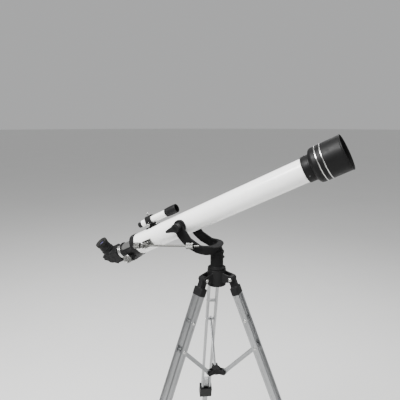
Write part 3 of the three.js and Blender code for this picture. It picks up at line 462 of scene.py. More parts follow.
def white_enamel():
    finish = Finish("white_enamel", IOR=1.48, Coat_Weight=0.3, Coat_Roughness=0.12, Coat_IOR=1.45)
    tone = finish.colours(finish.noise(7, 2), (0.80, 0.80, 0.785), (0.86, 0.86, 0.85))
    specks = finish.spread(finish.noise(420, 2), 0, 0.5, 0.70, 0.78)
    tone = finish.over(tone, (0.55, 0.54, 0.50), specks)
    rubbed = finish.edges(0.5, 0.03, 0.25)
    finish.set("Base Color", finish.over(tone, (0.68, 0.68, 0.66), rubbed))
    finish.set("Roughness", finish.spread(finish.noise(18, 4), 0.20, 0.36))
    finish.bump(finish.noise(520, 2), 0.10, 0.06)
    finish.bump(finish.noise(60, 2), 0.06, 0.25)
    return finish.material


def black_coat(name, shine=0.15, rough=(0.40, 0.54)):
    """Satin black powder coat on cast and turned aluminium."""
    finish = Finish(name, IOR=1.45, Specular_IOR_Level=shine)
    tone = finish.colours(finish.noise(30, 4), (0.003, 0.003, 0.0032), (0.0065, 0.0065, 0.0066))
    dust = finish.spread(finish.noise(900, 2), 0, 0.45, 0.62, 0.74)
    tone = finish.over(tone, (0.02, 0.02, 0.019), dust)
    finish.set("Base Color", finish.over(tone, (0.05, 0.05, 0.051), finish.edges(0.4)))
    finish.set("Roughness", finish.spread(finish.noise(90, 4), *rough))
    finish.bump(finish.noise(1500, 3), 0.35, 0.05)
    finish.bump(finish.noise(240, 2), 0.12, 0.12)
    return finish.material


def black_flock():
    """The dull black inside the tube and the dew shield."""
    finish = Finish("black_flock", IOR=1.4, Specular_IOR_Level=0.2)
    tone = finish.colours(finish.noise(600, 4), (0.003, 0.003, 0.003), (0.008, 0.008, 0.008))
    finish.set("Base Color", tone)
    finish.set("Roughness", finish.spread(finish.noise(120, 3), 0.72, 0.92))
    finish.bump(finish.noise(2400, 3), 0.6, 0.08)
    return finish.material


def black_moulding():
    """Moulded black plastic with a fine spark-eroded grain."""
    finish = Finish("black_moulding", IOR=1.45, Specular_IOR_Level=0.16)
    tone = finish.colours(finish.noise(22, 4), (0.004, 0.004, 0.0043), (0.009, 0.009, 0.0092))
    scuff = finish.spread(finish.noise(60, 6, 0.7, (1, 1, 4)), 0, 0.4, 0.62, 0.74)
    tone = finish.over(tone, (0.02, 0.02, 0.02), scuff)
    finish.set("Base Color", finish.over(tone, (0.04, 0.04, 0.041), finish.edges(0.5)))
    finish.set("Roughness", finish.spread(finish.noise(150, 4), 0.40, 0.58))
    finish.bump(finish.noise(1900, 4, 0.65), 0.45, 0.05)
    return finish.material


def soft_rubber():
    finish = Finish("soft_rubber", IOR=1.45, Specular_IOR_Level=0.18)
    tone = finish.colours(finish.noise(40, 4), (0.006, 0.006, 0.006), (0.014, 0.014, 0.0135))
    dust = finish.spread(finish.noise(700, 3), 0, 0.5, 0.58, 0.74)
    finish.set("Base Color", finish.over(tone, (0.09, 0.085, 0.075), dust))
    finish.set("Roughness", finish.spread(finish.noise(200, 4), 0.66, 0.86))
    finish.bump(finish.noise(1300, 4, 0.7), 0.5, 0.08)
    return finish.material


def bright_plate(name="bright_plate", grain=(2600, 26, 26), tint=(0.43, 0.43, 0.42), rough=(0.17, 0.30)):
    """Bright plating on turned metal: fine rings run round the X axis."""
    finish = Finish(name, Metallic=1.0)
    rings = finish.noise(1, 3, 0.6, grain)
    smudge = finish.noise(45, 4)
    light = tuple(1.18 * part for part in tint)
    tone = finish.colours(smudge, tint, light)
    spots = finish.spread(finish.noise(800, 2), 0, 0.6, 0.70, 0.80)
    finish.set("Base Color", finish.over(tone, (0.30, 0.29, 0.27), spots))
    finish.set("Roughness", finish.spread(smudge, *rough))
    finish.bump(rings, 0.06, 0.02)
    return finish.material


def leg_metal():
    """Natural satin aluminium, drawn along Z, with long handling scratches and a painted highlight along its
    edges.
    """
    finish = Finish("leg_metal", Metallic=1.0)
    drawn = finish.noise(1, 4, 0.6, (1500, 1500, 9))
    scratches = finish.spread(finish.noise(1, 2, 0.5, (900, 900, 30)), 0, 0.7, 0.66, 0.74)
    tone = finish.colours(finish.noise(9, 3), (0.27, 0.275, 0.28), (0.36, 0.365, 0.37))
    tone = finish.over(tone, (0.22, 0.22, 0.215), scratches)
    # The light grey (0.66) laid along the edges is a painted highlight, broken up by noise.
    finish.set("Base Color", finish.over(tone, (0.66, 0.66, 0.66), finish.edges(0.5)))
    finish.set("Roughness", finish.spread(drawn, 0.27, 0.42))
    finish.bump(drawn, 0.12, 0.03)
    return finish.material


def coated_glass():
    finish = Finish("coated_glass", IOR=1.52, Transmission_Weight=0.82, Coat_Weight=0.8, Coat_Roughness=0.02)
    finish.shader.inputs["Coat Tint"].default_value = (0.55, 0.45, 0.95, 1)
    dust = finish.spread(finish.noise(900, 3), 0, 0.25, 0.64, 0.78)
    tone = finish.colours(finish.noise(30, 2), (0.72, 0.80, 0.86), (0.80, 0.87, 0.92))
    finish.set("Base Color", finish.over(tone, (0.55, 0.56, 0.56), dust))
    finish.set("Roughness", finish.spread(finish.noise(70, 4), 0.015, 0.06))
    return finish.material


def silvered_glass():
    finish = Finish("silvered_glass", Metallic=1.0)
    finish.set("Base Color", finish.colours(finish.noise(60, 3), (0.82, 0.83, 0.84), (0.88, 0.89, 0.90)))
    finish.set("Roughness", finish.spread(finish.noise(200, 3), 0.02, 0.06))
    return finish.material


def dark_screw():
    finish = Finish("dark_screw", Metallic=1.0)
    finish.set("Base Color", finish.colours(finish.noise(300, 3), (0.06, 0.06, 0.062), (0.13, 0.13, 0.13)))
    finish.set("Roughness", finish.spread(finish.noise(500, 3), 0.28, 0.45))
    finish.bump(finish.noise(1500, 2), 0.2, 0.03)
    return finish.material


FINISHES = {
    "white": (white_enamel(), "white_paint"),
    "coat": (black_coat("black_coat"), "black_metal"),
    "cast": (black_coat("cast_coat", 0.10, (0.50, 0.64)), "black_metal"),
    "flock": (black_flock(), "black_metal"),
    "plastic": (black_moulding(), "black_plastic"),
    "eyecup": (soft_rubber(), "eyecup"),
    "rubber": (soft_rubber(), "rubber"),
    "bright": (bright_plate(), "chrome"),
    "bright_y": (bright_plate("bright_plate_y", (26, 2600, 26)), "chrome"),
    "leg": (leg_metal(), "leg_aluminium"),
    "steel": (bright_plate("drawn_steel", (30, 1400, 1400), (0.10, 0.10, 0.095), (0.28, 0.40)), "chrome"),
    "pressed": (bright_plate("pressed_steel", (26, 2600, 26), (0.16, 0.16, 0.155), (0.26, 0.40)), "chrome"),
    "flat_leg": (bright_plate("brushed_stay", (30, 900, 900), (0.27, 0.275, 0.28), (0.28, 0.42)),
                 "leg_aluminium"),
    "glass": (coated_glass(), "glass"),
    "mirror": (silvered_glass(), "mirror"),
    "screw": (dark_screw(), "chrome"),
}


# ---- Pieces ----


def place_piece(name, data, place, finish, body, replaced=()):
    material, slot_name = FINISHES[finish]
    if not data.materials:
        data.materials.append(material)
    piece = bpy.data.objects.new(name, data)
    bpy.context.scene.collection.objects.link(piece)
    piece.matrix_world = place.matrix
    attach(piece, body)
    if replaced:
        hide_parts(*replaced)
    return piece


def make(name, mesh, place, finish, body, replaced=()):
    piece = place_piece(name, to_data(name, mesh), place, finish, body, replaced)
    normals = piece.modifiers.new("even_shading", "WEIGHTED_NORMAL")
    normals.keep_sharp = True
    return piece


def repaint(node, finish):
    """A CAD node whose shape is right keeps it, with a better finish."""
    data = NODES[node].data
    data.materials.clear()
    data.materials.append(FINISHES[finish][0])


SCREW_MESHES = {}


def screw(name, place, body, radius=2.4, finish="screw"):
    """A cross-head screw that looks along its place's X axis; like screws share one mesh."""
    key = (radius, finish)
    if key not in SCREW_MESHES:
        dome = turned([(-1.0, 0), (-1.0, radius), (0.3 * radius, radius), (0.72 * radius, 0.6 * radius),
                       (0.85 * radius, 0)], 0.3 * radius, 32)
        arm, wide = 0.62 * radius, 0.14 * radius
        slots = [block((0.35 * radius, -arm, -wide), (radius, arm, wide), 0),
                 block((0.35 * radius, -wide, -arm), (radius, wide, arm), 0)]
        SCREW_MESHES[key] = to_data("cross_head", carved(dome, *slots))
    return place_piece(name, SCREW_MESHES[key], place, finish, body)


def nut(name, place, body, radius=5.0, height=3.4, finish="bright"):
    """A domed hexagon nut that looks along its place's X axis."""
    angles = [math.radians(60 * i) for i in range(6)]
    corners = [(radius * math.cos(a), radius * math.sin(a)) for a in angles]
    hexagon = moved(slab(corners, 0, height, 0.4), turn=(-90, "Z"))
    dome = turned([(height - 0.5, 0), (height - 0.5, 0.72 * radius), (height + 1.2, 0.62 * radius),
                   (height + 2.2, 0)], 0.8, 32)
    return make(name, merged(hexagon, dome), place, finish, body)


# ---- Optical tube ----


def build_tube():
    low, high = TUBE.span("main_tube")
    radius = TUBE.reach("main_tube")
    inner = radius - TUBE_WALL
    shell = tube(inner, radius, low.x, high.x, 0.3, 144)
    make("main_tube_shell", shell, TUBE, "white", "optical_tube", ["main_tube"])
    lining = tube(inner - 0.35, inner - 0.08, low.x + 3, high.x - 1, 0.05)
    make("tube_lining", lining, TUBE, "flock", "optical_tube")
    for place in (0.30, 0.62):
        x = low.x + place * (high.x - low.x)
        baffle = tube(0.76 * inner, inner - 0.5, x, x + 1.4, 0.3)
        make(f"light_baffle_{round(100 * place)}", baffle, TUBE, "flock", "optical_tube")


def build_objective():
    low, high = TUBE.span("objective_cell")
    radius = TUBE.reach("objective_cell")
    bore = TUBE.reach("main_tube") + 0.3
    shoulder = TUBE.span("dew_shield")[0].x - 0.3
    spigot = radius - 0.8
    lens = TUBE.reach("lens_crown")
    seat = TUBE.span("lens_flint")[0].x - 0.3
    tube_end = TUBE.span("main_tube")[1].x + 0.3
    collar = [
        (low.x, bore), (low.x, radius - 0.9), (low.x + 1.6, radius), (low.x + 3.4, radius),
        (low.x + 3.8, radius - 0.6), (low.x + 4.6, radius - 0.6), (low.x + 5.0, radius),
        (shoulder - 2.2, radius), (shoulder - 1.8, radius - 0.5), (shoulder, radius - 0.5),
        (shoulder, spigot), (high.x, spigot), (high.x, lens + 0.3), (seat, lens + 0.3),
        (seat, lens - 2), (tube_end, lens - 2), (tube_end, bore),
    ]
    make("objective_collar", turned(collar, 0.35), TUBE, "coat", "optical_tube", ["objective_cell"])
    for turn in (90, 210, 330):
        screw(f"collar_screw_{turn}", on_tube(low.x + 9.5, radius, turn), "optical_tube", 1.9)

    front = TUBE.span("lens_crown")[1].x
    edge = seat + 0.3 + 4.3
    crown = [(edge, 0), (edge, lens), (edge + 2.4, lens)]
    for step in range(75, 0, -15):
        angle = math.radians(step)
        crown.append((edge + 2.4 + (front - edge - 2.4) * math.cos(angle), lens * math.sin(angle)))
    crown.append((front, 0))
    make("objective_glass", turned(crown, 0.3), TUBE, "glass", "optical_tube", ["lens_crown"])
    back = [(seat + 0.3, 0), (seat + 0.3, lens), (seat + 4, lens), (seat + 3.6, 0)]
    make("objective_rear_glass", turned(back, 0.3), TUBE, "glass", "optical_tube", ["lens_flint"])

    ring_low, ring_high = TUBE.span("lens_ring")
    ring = turned([
        (ring_low.x, lens - 2.0), (ring_low.x, lens), (ring_high.x, lens), (ring_high.x, lens - 0.8),
        (ring_high.x - 1.0, lens - 1.2), (ring_high.x - 1.0, lens - 2.6),
    ], 0.2)
    notch = block((ring_high.x - 1.2, -60, -1.2), (ring_high.x + 1, 60, 1.2), 0)
    make("lens_retainer", carved(ring, notch), TUBE, "coat", "optical_tube", ["lens_ring"])


def build_dew_shield():
    low, high = TUBE.span("dew_shield")
    lip = TUBE.reach("dew_shield")
    radius = lip - 0.7
    bore = TUBE.bore("dew_shield")
    inner = radius - 2.0
    neck = radius - 10
    outline = [(low.x, bore), (low.x, bore + 1.6), (low.x + 1.4, neck - 0.6), (low.x + 2.6, neck + 0.4)]
    for step in range(1, 10):
        angle = math.radians(10 * step)
        outline.append((low.x + 13 - 10.2 * math.cos(angle), neck + 10 * math.sin(angle)))
    outline += [
        (high.x - 4.2, radius), (high.x - 3.6, radius - 0.5), (high.x - 3.0, radius - 0.5),
        (high.x - 2.4, lip), (high.x - 0.6, lip), (high.x, lip - 0.8), (high.x, inner + 0.5),
    ]
    x = high.x - 2.5
    while x > low.x + 20:
        outline += [(x, inner), (x - 0.5 * SHIELD_RIB_PITCH, inner + SHIELD_RIB_DEPTH)]
        x -= SHIELD_RIB_PITCH
    outline += [(low.x + 16, inner), (low.x + 14, bore)]
    shield = make("dew_shield_hood", turned(outline, 0.3, 128), TUBE, "coat", "optical_tube", ["dew_shield"])
    shield.data.materials.append(FINISHES["flock"][0])
    for face in shield.data.polygons:
        centre = face.center / MM
        inside = math.hypot(centre.y, centre.z) < inner + 0.9 and low.x + 15 < centre.x < high.x - 0.4
        face.material_index = int(inside)

    for node in ("trim_ring_rear", "trim_ring_front"):
        start, end = TUBE.span(node)
        top = TUBE.reach(node)
        base = radius - 0.1
        band = [(start.x, base), (start.x, top - 0.5), (start.x + 0.5, top),
                (end.x - 0.5, top), (end.x, top - 0.5), (end.x, base)]
        make(node + "_band", turned(band, 0.4, 128), TUBE, "bright", "optical_tube", [node])


# ---- Focuser ----


def build_focuser():
    housing = moulded(node_mesh(TUBE, "focuser_housing"), 0.7, 7)
    make("focuser_casting", housing, TUBE, "plastic", "optical_tube", ["focuser_housing"])
    low, high = TUBE.span("focuser_barrel")
    bore = TUBE.bore("drawtube") + 2.2
    outer = bore + 2.6
    barrel = [(low.x, bore), (low.x, outer), (high.x - 3, outer), (high.x - 3, bore)]
    make("focuser_bright_barrel", turned(barrel, 0.4), TUBE, "bright", "optical_tube", ["focuser_barrel"])

    case_low = TUBE.span("focuser_housing")[0]
    pinion = TUBE.inverse @ PINION.matrix.translation / MM
    floor = case_low.z - 0.9
    plate = block((pinion.x - 6, -9, floor), (pinion.x + 8, 9, floor + 1.6), 0.5)
    make("gear_cover_plate", plate, TUBE, "plastic", "optical_tube")
    for side, flank in reversed(FLANKS):
        spot = TUBE.at(pinion.x + 1, 6 * side, floor, (0, 0, -1))
        screw(f"gear_cover_screw_{flank}", spot, "optical_tube", 1.8)
    radius = TUBE.reach("main_tube") + 2.2
    flange = TUBE.span("main_tube")[0].x + 4
    for turn in (60, 120, 270):
        screw(f"flange_screw_{turn}", on_tube(flange, radius, turn), "optical_tube", 1.7)

    low, high = TUBE.span("drawtube")
    inner = TUBE.bore("drawtube")
    radius = inner + 1.8
    collar = TUBE.reach("drawtube")
    step = low.x + 9
    draw = [
        (high.x, inner), (high.x, radius), (step, radius), (step, collar - 0.4), (step - 0.6, collar),
        (low.x + 3.4, collar), (low.x + 3.0, collar - 0.5), (low.x + 2.2, collar - 0.5),
        (low.x + 1.8, collar), (low.x + 0.6, collar), (low.x, collar - 0.6), (low.x, inner),
    ]
    make("drawtube_bright", turned(draw, 0.25), TUBE, "bright", "draw", ["drawtube"])
    repaint("focus_rack", "plastic")
    repaint("pinion_shaft", "flat_leg")

    for side, node in ((1, "focus_knob_left"), (-1, "focus_knob_right")):
        place = PINION.at(0, 0, 0, (0, side, 0))
        low, high = place.span(node)
        radius = place.reach(node)
        inside = radius - 1.4
        profile = [
            (low.x, 3.2), (low.x, 6.4), (high.x - 11.2, 6.4), (high.x - 10.4, inside - 3),
            (high.x - 9.6, inside), (high.x - 9.0, radius), (high.x - 1.6, radius),
            (high.x - 0.2, radius - 1.3), (high.x, radius - 2.6), (high.x - 1.4, radius - 3.8),
            (high.x - 1.8, 5.6), (high.x - 0.6, 4.8), (high.x - 0.4, 0), (high.x - 4, 0),
            (high.x - 4, 3.2),
        ]
        knob = turned(profile, 0.35, ridges=(high.x - 9.2, high.x - 1.4, 40, 0.55))
        make(node + "_grip", knob, place, "pressed", "focus_pinion", [node])


# ---- Diagonal and eyepiece ----


def build_diagonal():
    low, high = DIAGONAL.span("diagonal_body")
    width = high.y
    bottom = low.z
    side = -low.x
    bore = DIAGONAL.reach("diagonal_nose") + 0.15
    corner = -DIAGONAL.span("diagonal_back_plate")[0].z - 9
    outline = [(high.x, bottom), (corner, bottom), (bottom, corner), (bottom, side), (high.x, side)]
    shell = slab(outline, -width, width, 2.2)
    forward = rod(bore, -bore, high.x + 2, 0.1, 64)
    upward = along_z(rod(bore, -bore, side + 2, 0.1, 64))
    shell = carved(shell, forward, upward)
    make("diagonal_shell", shell, DIAGONAL, "plastic", "diagonal", ["diagonal_body"])
    for face, flank in reversed(FLANKS):
        across = DIAGONAL.at(0, face * (width - 0.4), 0, (0, face, 0))
        disc = turned([(0, 0), (0, 12.5), (1.1, 12.0), (1.1, 9.6), (0.6, 9.2), (0.6, 0)], 0.3, 72)
        make(f"diagonal_side_cap_{flank}", disc, across, "plastic", "diagonal")

    half = 0.5 * math.hypot(corner - bottom, corner - bottom)
    back = DIAGONAL.at(0, 0, 0, (-1, 0, -1))
    plate_far = back.span("diagonal_back_plate")[1].x
    plate = block((plate_far - 3, -width + 0.4, -half + 0.2), (plate_far, width - 0.4, half - 0.2), 0.8)
    make("diagonal_back_cover", plate, back, "plastic", "diagonal", ["diagonal_back_plate"])
    for y in (-1, 1):
        for z in (-1, 1):
            spot = back.at(plate_far, y * (width - 4.4), z * (half - 4.4), (1, 0, 0))
            screw(f"diagonal_cover_screw_{y + 1}{z + 1}", spot, "diagonal", 1.8)
    repaint("diagonal_mirror", "mirror")

    nose_low, nose_high = DIAGONAL.span("diagonal_nose")
    radius = DIAGONAL.reach("diagonal_nose")
    nose = tube(radius - 1.5, radius, nose_low.x, nose_high.x, 0.4)
    make("diagonal_bright_nose", nose, DIAGONAL, "bright", "diagonal", ["diagonal_nose"])
    front = tube(radius + 0.2, radius + 3.6, high.x - 0.2, high.x + 0.9, 0.4)
    make("diagonal_front_ring", front, DIAGONAL, "plastic", "diagonal")

    top = high.z
    socket = turned([
        (side - 1, bore), (side - 1, bore + 4.2), (side + 1.4, bore + 4.2), (side + 2.2, bore + 3),
        (top - 0.6, bore + 3), (top, bore + 2.4), (top, bore),
    ], 0.35)
    make("eyepiece_socket", socket, EYEPIECE, "plastic", "diagonal")


def build_eyepiece():
    low, high = EYEPIECE.span("eyepiece_body")
    radius = EYEPIECE.reach("eyepiece_body")
    profile = [
        (low.x, 16), (low.x, radius - 1.6), (low.x + 1, radius - 1.2), (low.x + 5, radius - 1.4),
        (low.x + 5.5, radius - 2.0), (low.x + 6.5, radius - 2.0), (low.x + 7, radius - 1.4),
        (high.x - 12, radius - 2.2), (high.x - 12, 8.2), (high.x - 9, 8.2), (high.x - 9, 6.5),
        (low.x + 6, 6.5), (low.x + 6, 16),
    ]
    ridges = (low.x + 7.2, high.x - 12.6, 36, 0.6)
    shell = in_row(turned(profile, 0.3, ridges=ridges), EYEPIECE)
    make("eyepiece_shell", shell, ROW, "plastic", "eyepiece", ["eyepiece_body"])
    cup = turned([
        (high.x - 12, 8.4), (high.x - 12, radius - 1.4), (high.x - 10.5, radius - 0.6),
        (high.x - 1.8, radius), (high.x - 0.4, radius - 0.6), (high.x, radius - 1.8),
        (high.x - 0.6, radius - 3.6), (high.x - 3.4, 11.5), (high.x - 4.6, 9.4), (high.x - 9, 8.4),
    ], 0.6)
    make("eyepiece_rubber_cup", in_row(cup, EYEPIECE), ROW, "eyecup", "eyepiece")
    low, high = EYEPIECE.span("eyepiece_lens")
    lens = EYEPIECE.reach("eyepiece_lens")
    glass = [(low.x, 0), (low.x, lens), (low.x + 1.8, lens), (low.x + 2.6, 0.6 * lens), (high.x, 0)]
    make("eye_glass", turned(glass, 0.5, 72), EYEPIECE, "glass", "eyepiece", ["eyepiece_lens"])
    low, high = EYEPIECE.span("eyepiece_barrel")
    radius = EYEPIECE.reach("eyepiece_barrel")
    barrel = turned([
        (low.x, radius - 1.4), (low.x, radius), (low.x + 6, radius), (low.x + 6.6, radius - 0.6),
        (low.x + 11, radius - 0.6), (low.x + 11.6, radius), (high.x, radius), (high.x, radius - 1.4),
    ], 0.25)
    make("eyepiece_bright_barrel", barrel, EYEPIECE, "bright", "eyepiece", ["eyepiece_barrel"])


# ---- Finder ----


def build_finder():
    low, high = TUBE.span("finder_tube")
    height = (low.z + high.z) / 2
    finder = TUBE.at(0, 0, height)
    radius = finder.reach("finder_tube")
    inner = radius - 1.4
    shell = tube(inner, radius, low.x, high.x, 0.3)
    make("finder_shell", shell, finder, "white", "optical_tube", ["finder_tube"])
    lining = tube(inner - 0.3, inner - 0.05, low.x + 1, high.x - 1, 0.05)
    make("finder_lining", lining, finder, "flock", "optical_tube")

    low, high = finder.span("finder_objective_cell")
    wide = finder.reach("finder_objective_cell")
    lens_seat = finder.span("finder_tube")[1].x + 4
    cell = [
        (low.x, radius + 0.3), (low.x, wide - 1.6), (low.x + 1.4, wide - 0.8), (low.x + 9, wide - 0.4),
        (low.x + 9.6, wide - 1.0), (low.x + 10.4, wide - 1.0), (low.x + 11, wide), (high.x - 2.6, wide),
        (high.x - 2.2, wide - 0.5), (high.x - 0.8, wide - 0.5), (high.x, wide - 1.0),
        (high.x, wide - 1.7), (lens_seat, wide - 1.7), (lens_seat, inner), (lens_seat - 3.7, inner),
        (lens_seat - 3.7, radius + 0.3),
    ]
    ridges = (low.x + 1.3, low.x + 9.1, 36, 0.45)
    cell = turned(cell, 0.3, ridges=ridges)
    make("finder_cell", cell, finder, "plastic", "optical_tube", ["finder_objective_cell"])
    glass = [(lens_seat + 0.3, 0), (lens_seat + 0.3, wide - 2), (lens_seat + 2, wide - 2),
             (lens_seat + 3, 0.5 * wide), (lens_seat + 3.4, 0)]
    make("finder_glass", turned(glass, 0.3, 72), finder, "glass", "optical_tube")

    low, high = finder.span("finder_eyepiece")
    wide = finder.reach("finder_eyepiece")
    eye = [
        (low.x, 4.4), (low.x, wide - 1.0), (low.x + 0.9, wide), (low.x + 8, wide),
        (low.x + 9, wide - 0.8), (low.x + 9.2, wide - 1.4), (low.x + 14, wide - 1.4),
        (low.x + 16, wide), (high.x, wide), (high.x, 4), (low.x + 4, 4), (low.x + 2.4, 4.2),
    ]
    ridges = (low.x + 1.2, low.x + 7.8, 30, 0.4)
    eye = turned(eye, 0.3, ridges=ridges)
    make("finder_ocular", eye, finder, "plastic", "finder_eye", ["finder_eyepiece"])
    eye_glass = [(low.x + 4.4, 0), (low.x + 4.4, 3.9), (low.x + 5.6, 3.9), (low.x + 5.6, 0)]
    make("finder_eye_glass", turned(eye_glass, 0.2, 48), finder, "glass", "finder_eye")

    bracket = moulded(node_mesh(TUBE, "finder_bracket"), 0.5, 6)
    make("finder_holder", bracket, TUBE, "plastic", "optical_tube", ["finder_bracket"])
    low, high = TUBE.span("finder_bracket")
    foot = TUBE.reach("main_tube") + 2.3
    for end, x in (("rear", low.x + 5), ("front", high.x - 5)):
        screw(f"finder_foot_screw_{end}", TUBE.at(x, 0, foot, (0, 0, 1)), "optical_tube", 2.6, "bright_y")
    for number, letter in zip(LEGS, "abc"):
        node = f"finder_screw_{number}"
        outward = axis(f"finder_screw_{number}_turn")
        place = Place(JOINTS[f"finder_screw_{number}_turn"]["pos_m"], outward, axis("focus_slide"))
        low, high = place.span(node)
        wide = place.reach(node)
        profile = [
            (low.x, 0), (low.x, 1.1), (low.x + 0.8, 1.6), (high.x - 6.5, 1.6),
            (high.x - 6.5, wide - 0.6), (high.x - 6, wide), (high.x - 0.8, wide), (high.x, wide - 0.8),
            (high.x, 1.6), (high.x - 0.5, 0),
        ]
        grip = turned(profile, 0.25, ridges=(high.x - 6.2, high.x - 0.6, 18, 0.5))
        make(node + "_thumb", grip, place, "bright", f"finder_screw_{letter}", [node])


# ---- Fork head ----


def build_pivots():
    radius = TUBE.reach("main_tube")
    for side, name in FLANKS:
        node = f"pivot_plate_{name}"
        place = TUBE.at(0, 0, 0, (0, side, 0))
        low, high = place.span(node)
        wide = place.reach(node)
        profile = [
            (low.x, 0), (low.x, wide), (high.x - 2.4, wide), (high.x - 1.8, wide - 0.8),
            (high.x - 0.4, wide - 1.2), (high.x, wide - 2.0), (high.x, 0),
        ]
        boss = carved(turned(profile, 0.4, 72), moved(rod(radius + 0.05, -40, 40, 0.1, 144), turn=(90, "Z")))
        make(f"pivot_boss_{name}", boss, place, "coat", "optical_tube", [node])


def build_knobs():
    for side, name in FLANKS:
        node = f"altitude_knob_{name}"
        place = Place(JOINTS["altitude"]["pos_m"], (1, 0, 0), ACROSS)
        body = f"altitude_lock_{name}"
        knob = moulded(node_mesh(place, node), 0.45, 7)
        make(f"{node}_lever", knob, place, "plastic", body, [node])
        face = max(abs(place.span(node)[0].y), abs(place.span(node)[1].y))
        cap = place.at(0, side * (face - 0.5), 0, (0, side, 0))
        button = turned([(-0.5, 0), (-0.5, 8.2), (0.5, 8.2), (0.9, 7.4), (0.5, 6.2), (0.5, 0)], 0.25, 64)
        make(f"{node}_cap", button, cap, "plastic", body)


def build_rod():
    plate = moulded(node_mesh(TUBE, "rod_bracket"), 0.45, 5)
    make("rod_bracket_plate", plate, TUBE, "pressed", "optical_tube", ["rod_bracket"])
    radius = TUBE.reach("main_tube") + 3.2
    stud = TUBE.inverse @ ROD.matrix.translation / MM
    for x in (-10, 10):
        angle = math.asin(stud.z / radius)
        outward = (0, -math.cos(angle), math.sin(angle))
        spot = TUBE.at(stud.x + x, radius * outward[1], radius * outward[2], outward)
        screw(f"rod_bracket_screw_{'front' if x > 0 else 'rear'}", spot, "optical_tube", 2.5)
    make("stud_nut_piece", rod(4.6, 0, 2.4, 0.6), TUBE.at(stud.x, stud.y - 9, stud.z, (0, -1, 0)), "pressed",
         "optical_tube")

    low, high = ROD.span("altitude_rod")
    radius = ROD_RADIUS
    shaft = [(low.x, 0), (low.x, radius - 0.6), (low.x + 0.8, radius), (high.x - 1.2, radius),
             (high.x, radius - 1), (high.x, 0)]
    eye = along_y(turned([(-8, 3.3), (-8, 6.2), (-7.2, 7), (7.2, 7), (8, 6.2), (8, 3.3)], 0.3, 72))
    bar = turned(shaft, 0.3)
    collar = turned([(8, 0), (8, 4.4), (15, 4.4), (15, 0)], 0.6)
    make("altitude_slide_rod", merged(bar, eye, collar), ROD, "steel", "rod_body", ["altitude_rod"])

    low, high = ROD.span("rod_wheel")
    wide = ROD.reach("rod_wheel")
    profile = [
        (low.x, 3.1), (low.x, wide - 1.8), (low.x + 1, wide), (low.x + 8, wide),
        (low.x + 9, wide - 1.6), (low.x + 10.5, wide - 1.6), (low.x + 11.5, wide), (high.x - 1, wide),
        (high.x, wide - 1.4), (high.x, 3.1),
    ]
    wheel = turned(profile, 0.3, ridges=(low.x + 0.9, high.x - 0.9, 30, 0.6))
    make("fine_wheel", wheel, ROD, "pressed", "rod_wheel_body", ["rod_wheel"])

    low, high = CLAMP.span("rod_clamp")
    wide = CLAMP_RADIUS
    bore = CLAMP_BORE
    profile = [
        (low.x, bore), (low.x, wide - 1.4), (low.x + 1, wide), (low.x + 7, wide),
        (low.x + 7.8, wide - 1), (high.x - 7.8, wide - 1), (high.x - 7, wide), (high.x - 1, wide),
        (high.x, wide - 1.4), (high.x, bore),
    ]
    sleeve = turned(profile, 0.3, ridges=(low.x + 0.9, high.x - 0.9, 30, 0.55))
    stud = along_y(rod(3, 7.4, high.y, 0.4))
    make("clamp_sleeve", merged(sleeve, stud), CLAMP, "pressed", "rod_clamp_body", ["rod_clamp"])


def build_fork():
    fork = moulded(node_mesh(FORK, "yoke_fork"), 0.8, 8)
    make("fork_casting", fork, FORK, "cast", "fork", ["yoke_fork"])
    post_low, post_high = UPRIGHT.span("mount_post")
    radius = POST_RADIUS
    base = UPRIGHT.reach("mount_post")
    post = [
        (post_low.x, 0), (post_low.x, base - 0.6), (post_low.x + 0.6, base), (post_low.x + 4.4, base),
        (post_low.x + 5.2, base - 1), (post_low.x + 8, radius + 1.4), (post_low.x + 9.6, radius),
        (post_high.x - 8, radius), (post_high.x - 7.4, radius - 0.7), (post_high.x - 6.4, radius - 0.7),
        (post_high.x - 5.8, radius), (post_high.x - 0.6, radius), (post_high.x, radius - 0.6),
        (post_high.x, POST_BORE), (post_high.x - POST_BORE_DEPTH, POST_BORE),
        (post_high.x - POST_BORE_DEPTH, 0),
    ]
    make("azimuth_post", turned(post, 0.4), UPRIGHT, "cast", "tripod", ["mount_post"])
    lock = Place(JOINTS["azimuth_lock_turn"]["pos_m"], ACROSS, (0, 0, 1))
    knob = moulded(node_mesh(lock, "azimuth_lock_knob"), 0.45, 6)
    make("azimuth_lock_star", knob, lock, "plastic", "azimuth_lock", ["azimuth_lock_knob"])
    face = lock.span("azimuth_lock_knob")[1].x
    make("azimuth_lock_cap", turned([(-0.6, 0), (-0.6, 6.2), (0.5, 5.8), (0.9, 0)], 0.4, 48),
         lock.at(face, 0, 0), "plastic", "azimuth_lock")


# ---- Tripod ----


def build_hub():
    hub = moulded(node_mesh(HUB, "tripod_hub"), 0.9, 7)
    make("tripod_head_casting", hub, HUB, "plastic", "tripod", ["tripod_hub"])
    cap = turned([(-26.2, 0), (-26.2, 15), (-24.6, 17.5), (-23.6, 17.5), (-23.6, 0)], 0.6, 72)
    make("tripod_head_bottom_cap", cap, UPRIGHT, "plastic", "tripod")


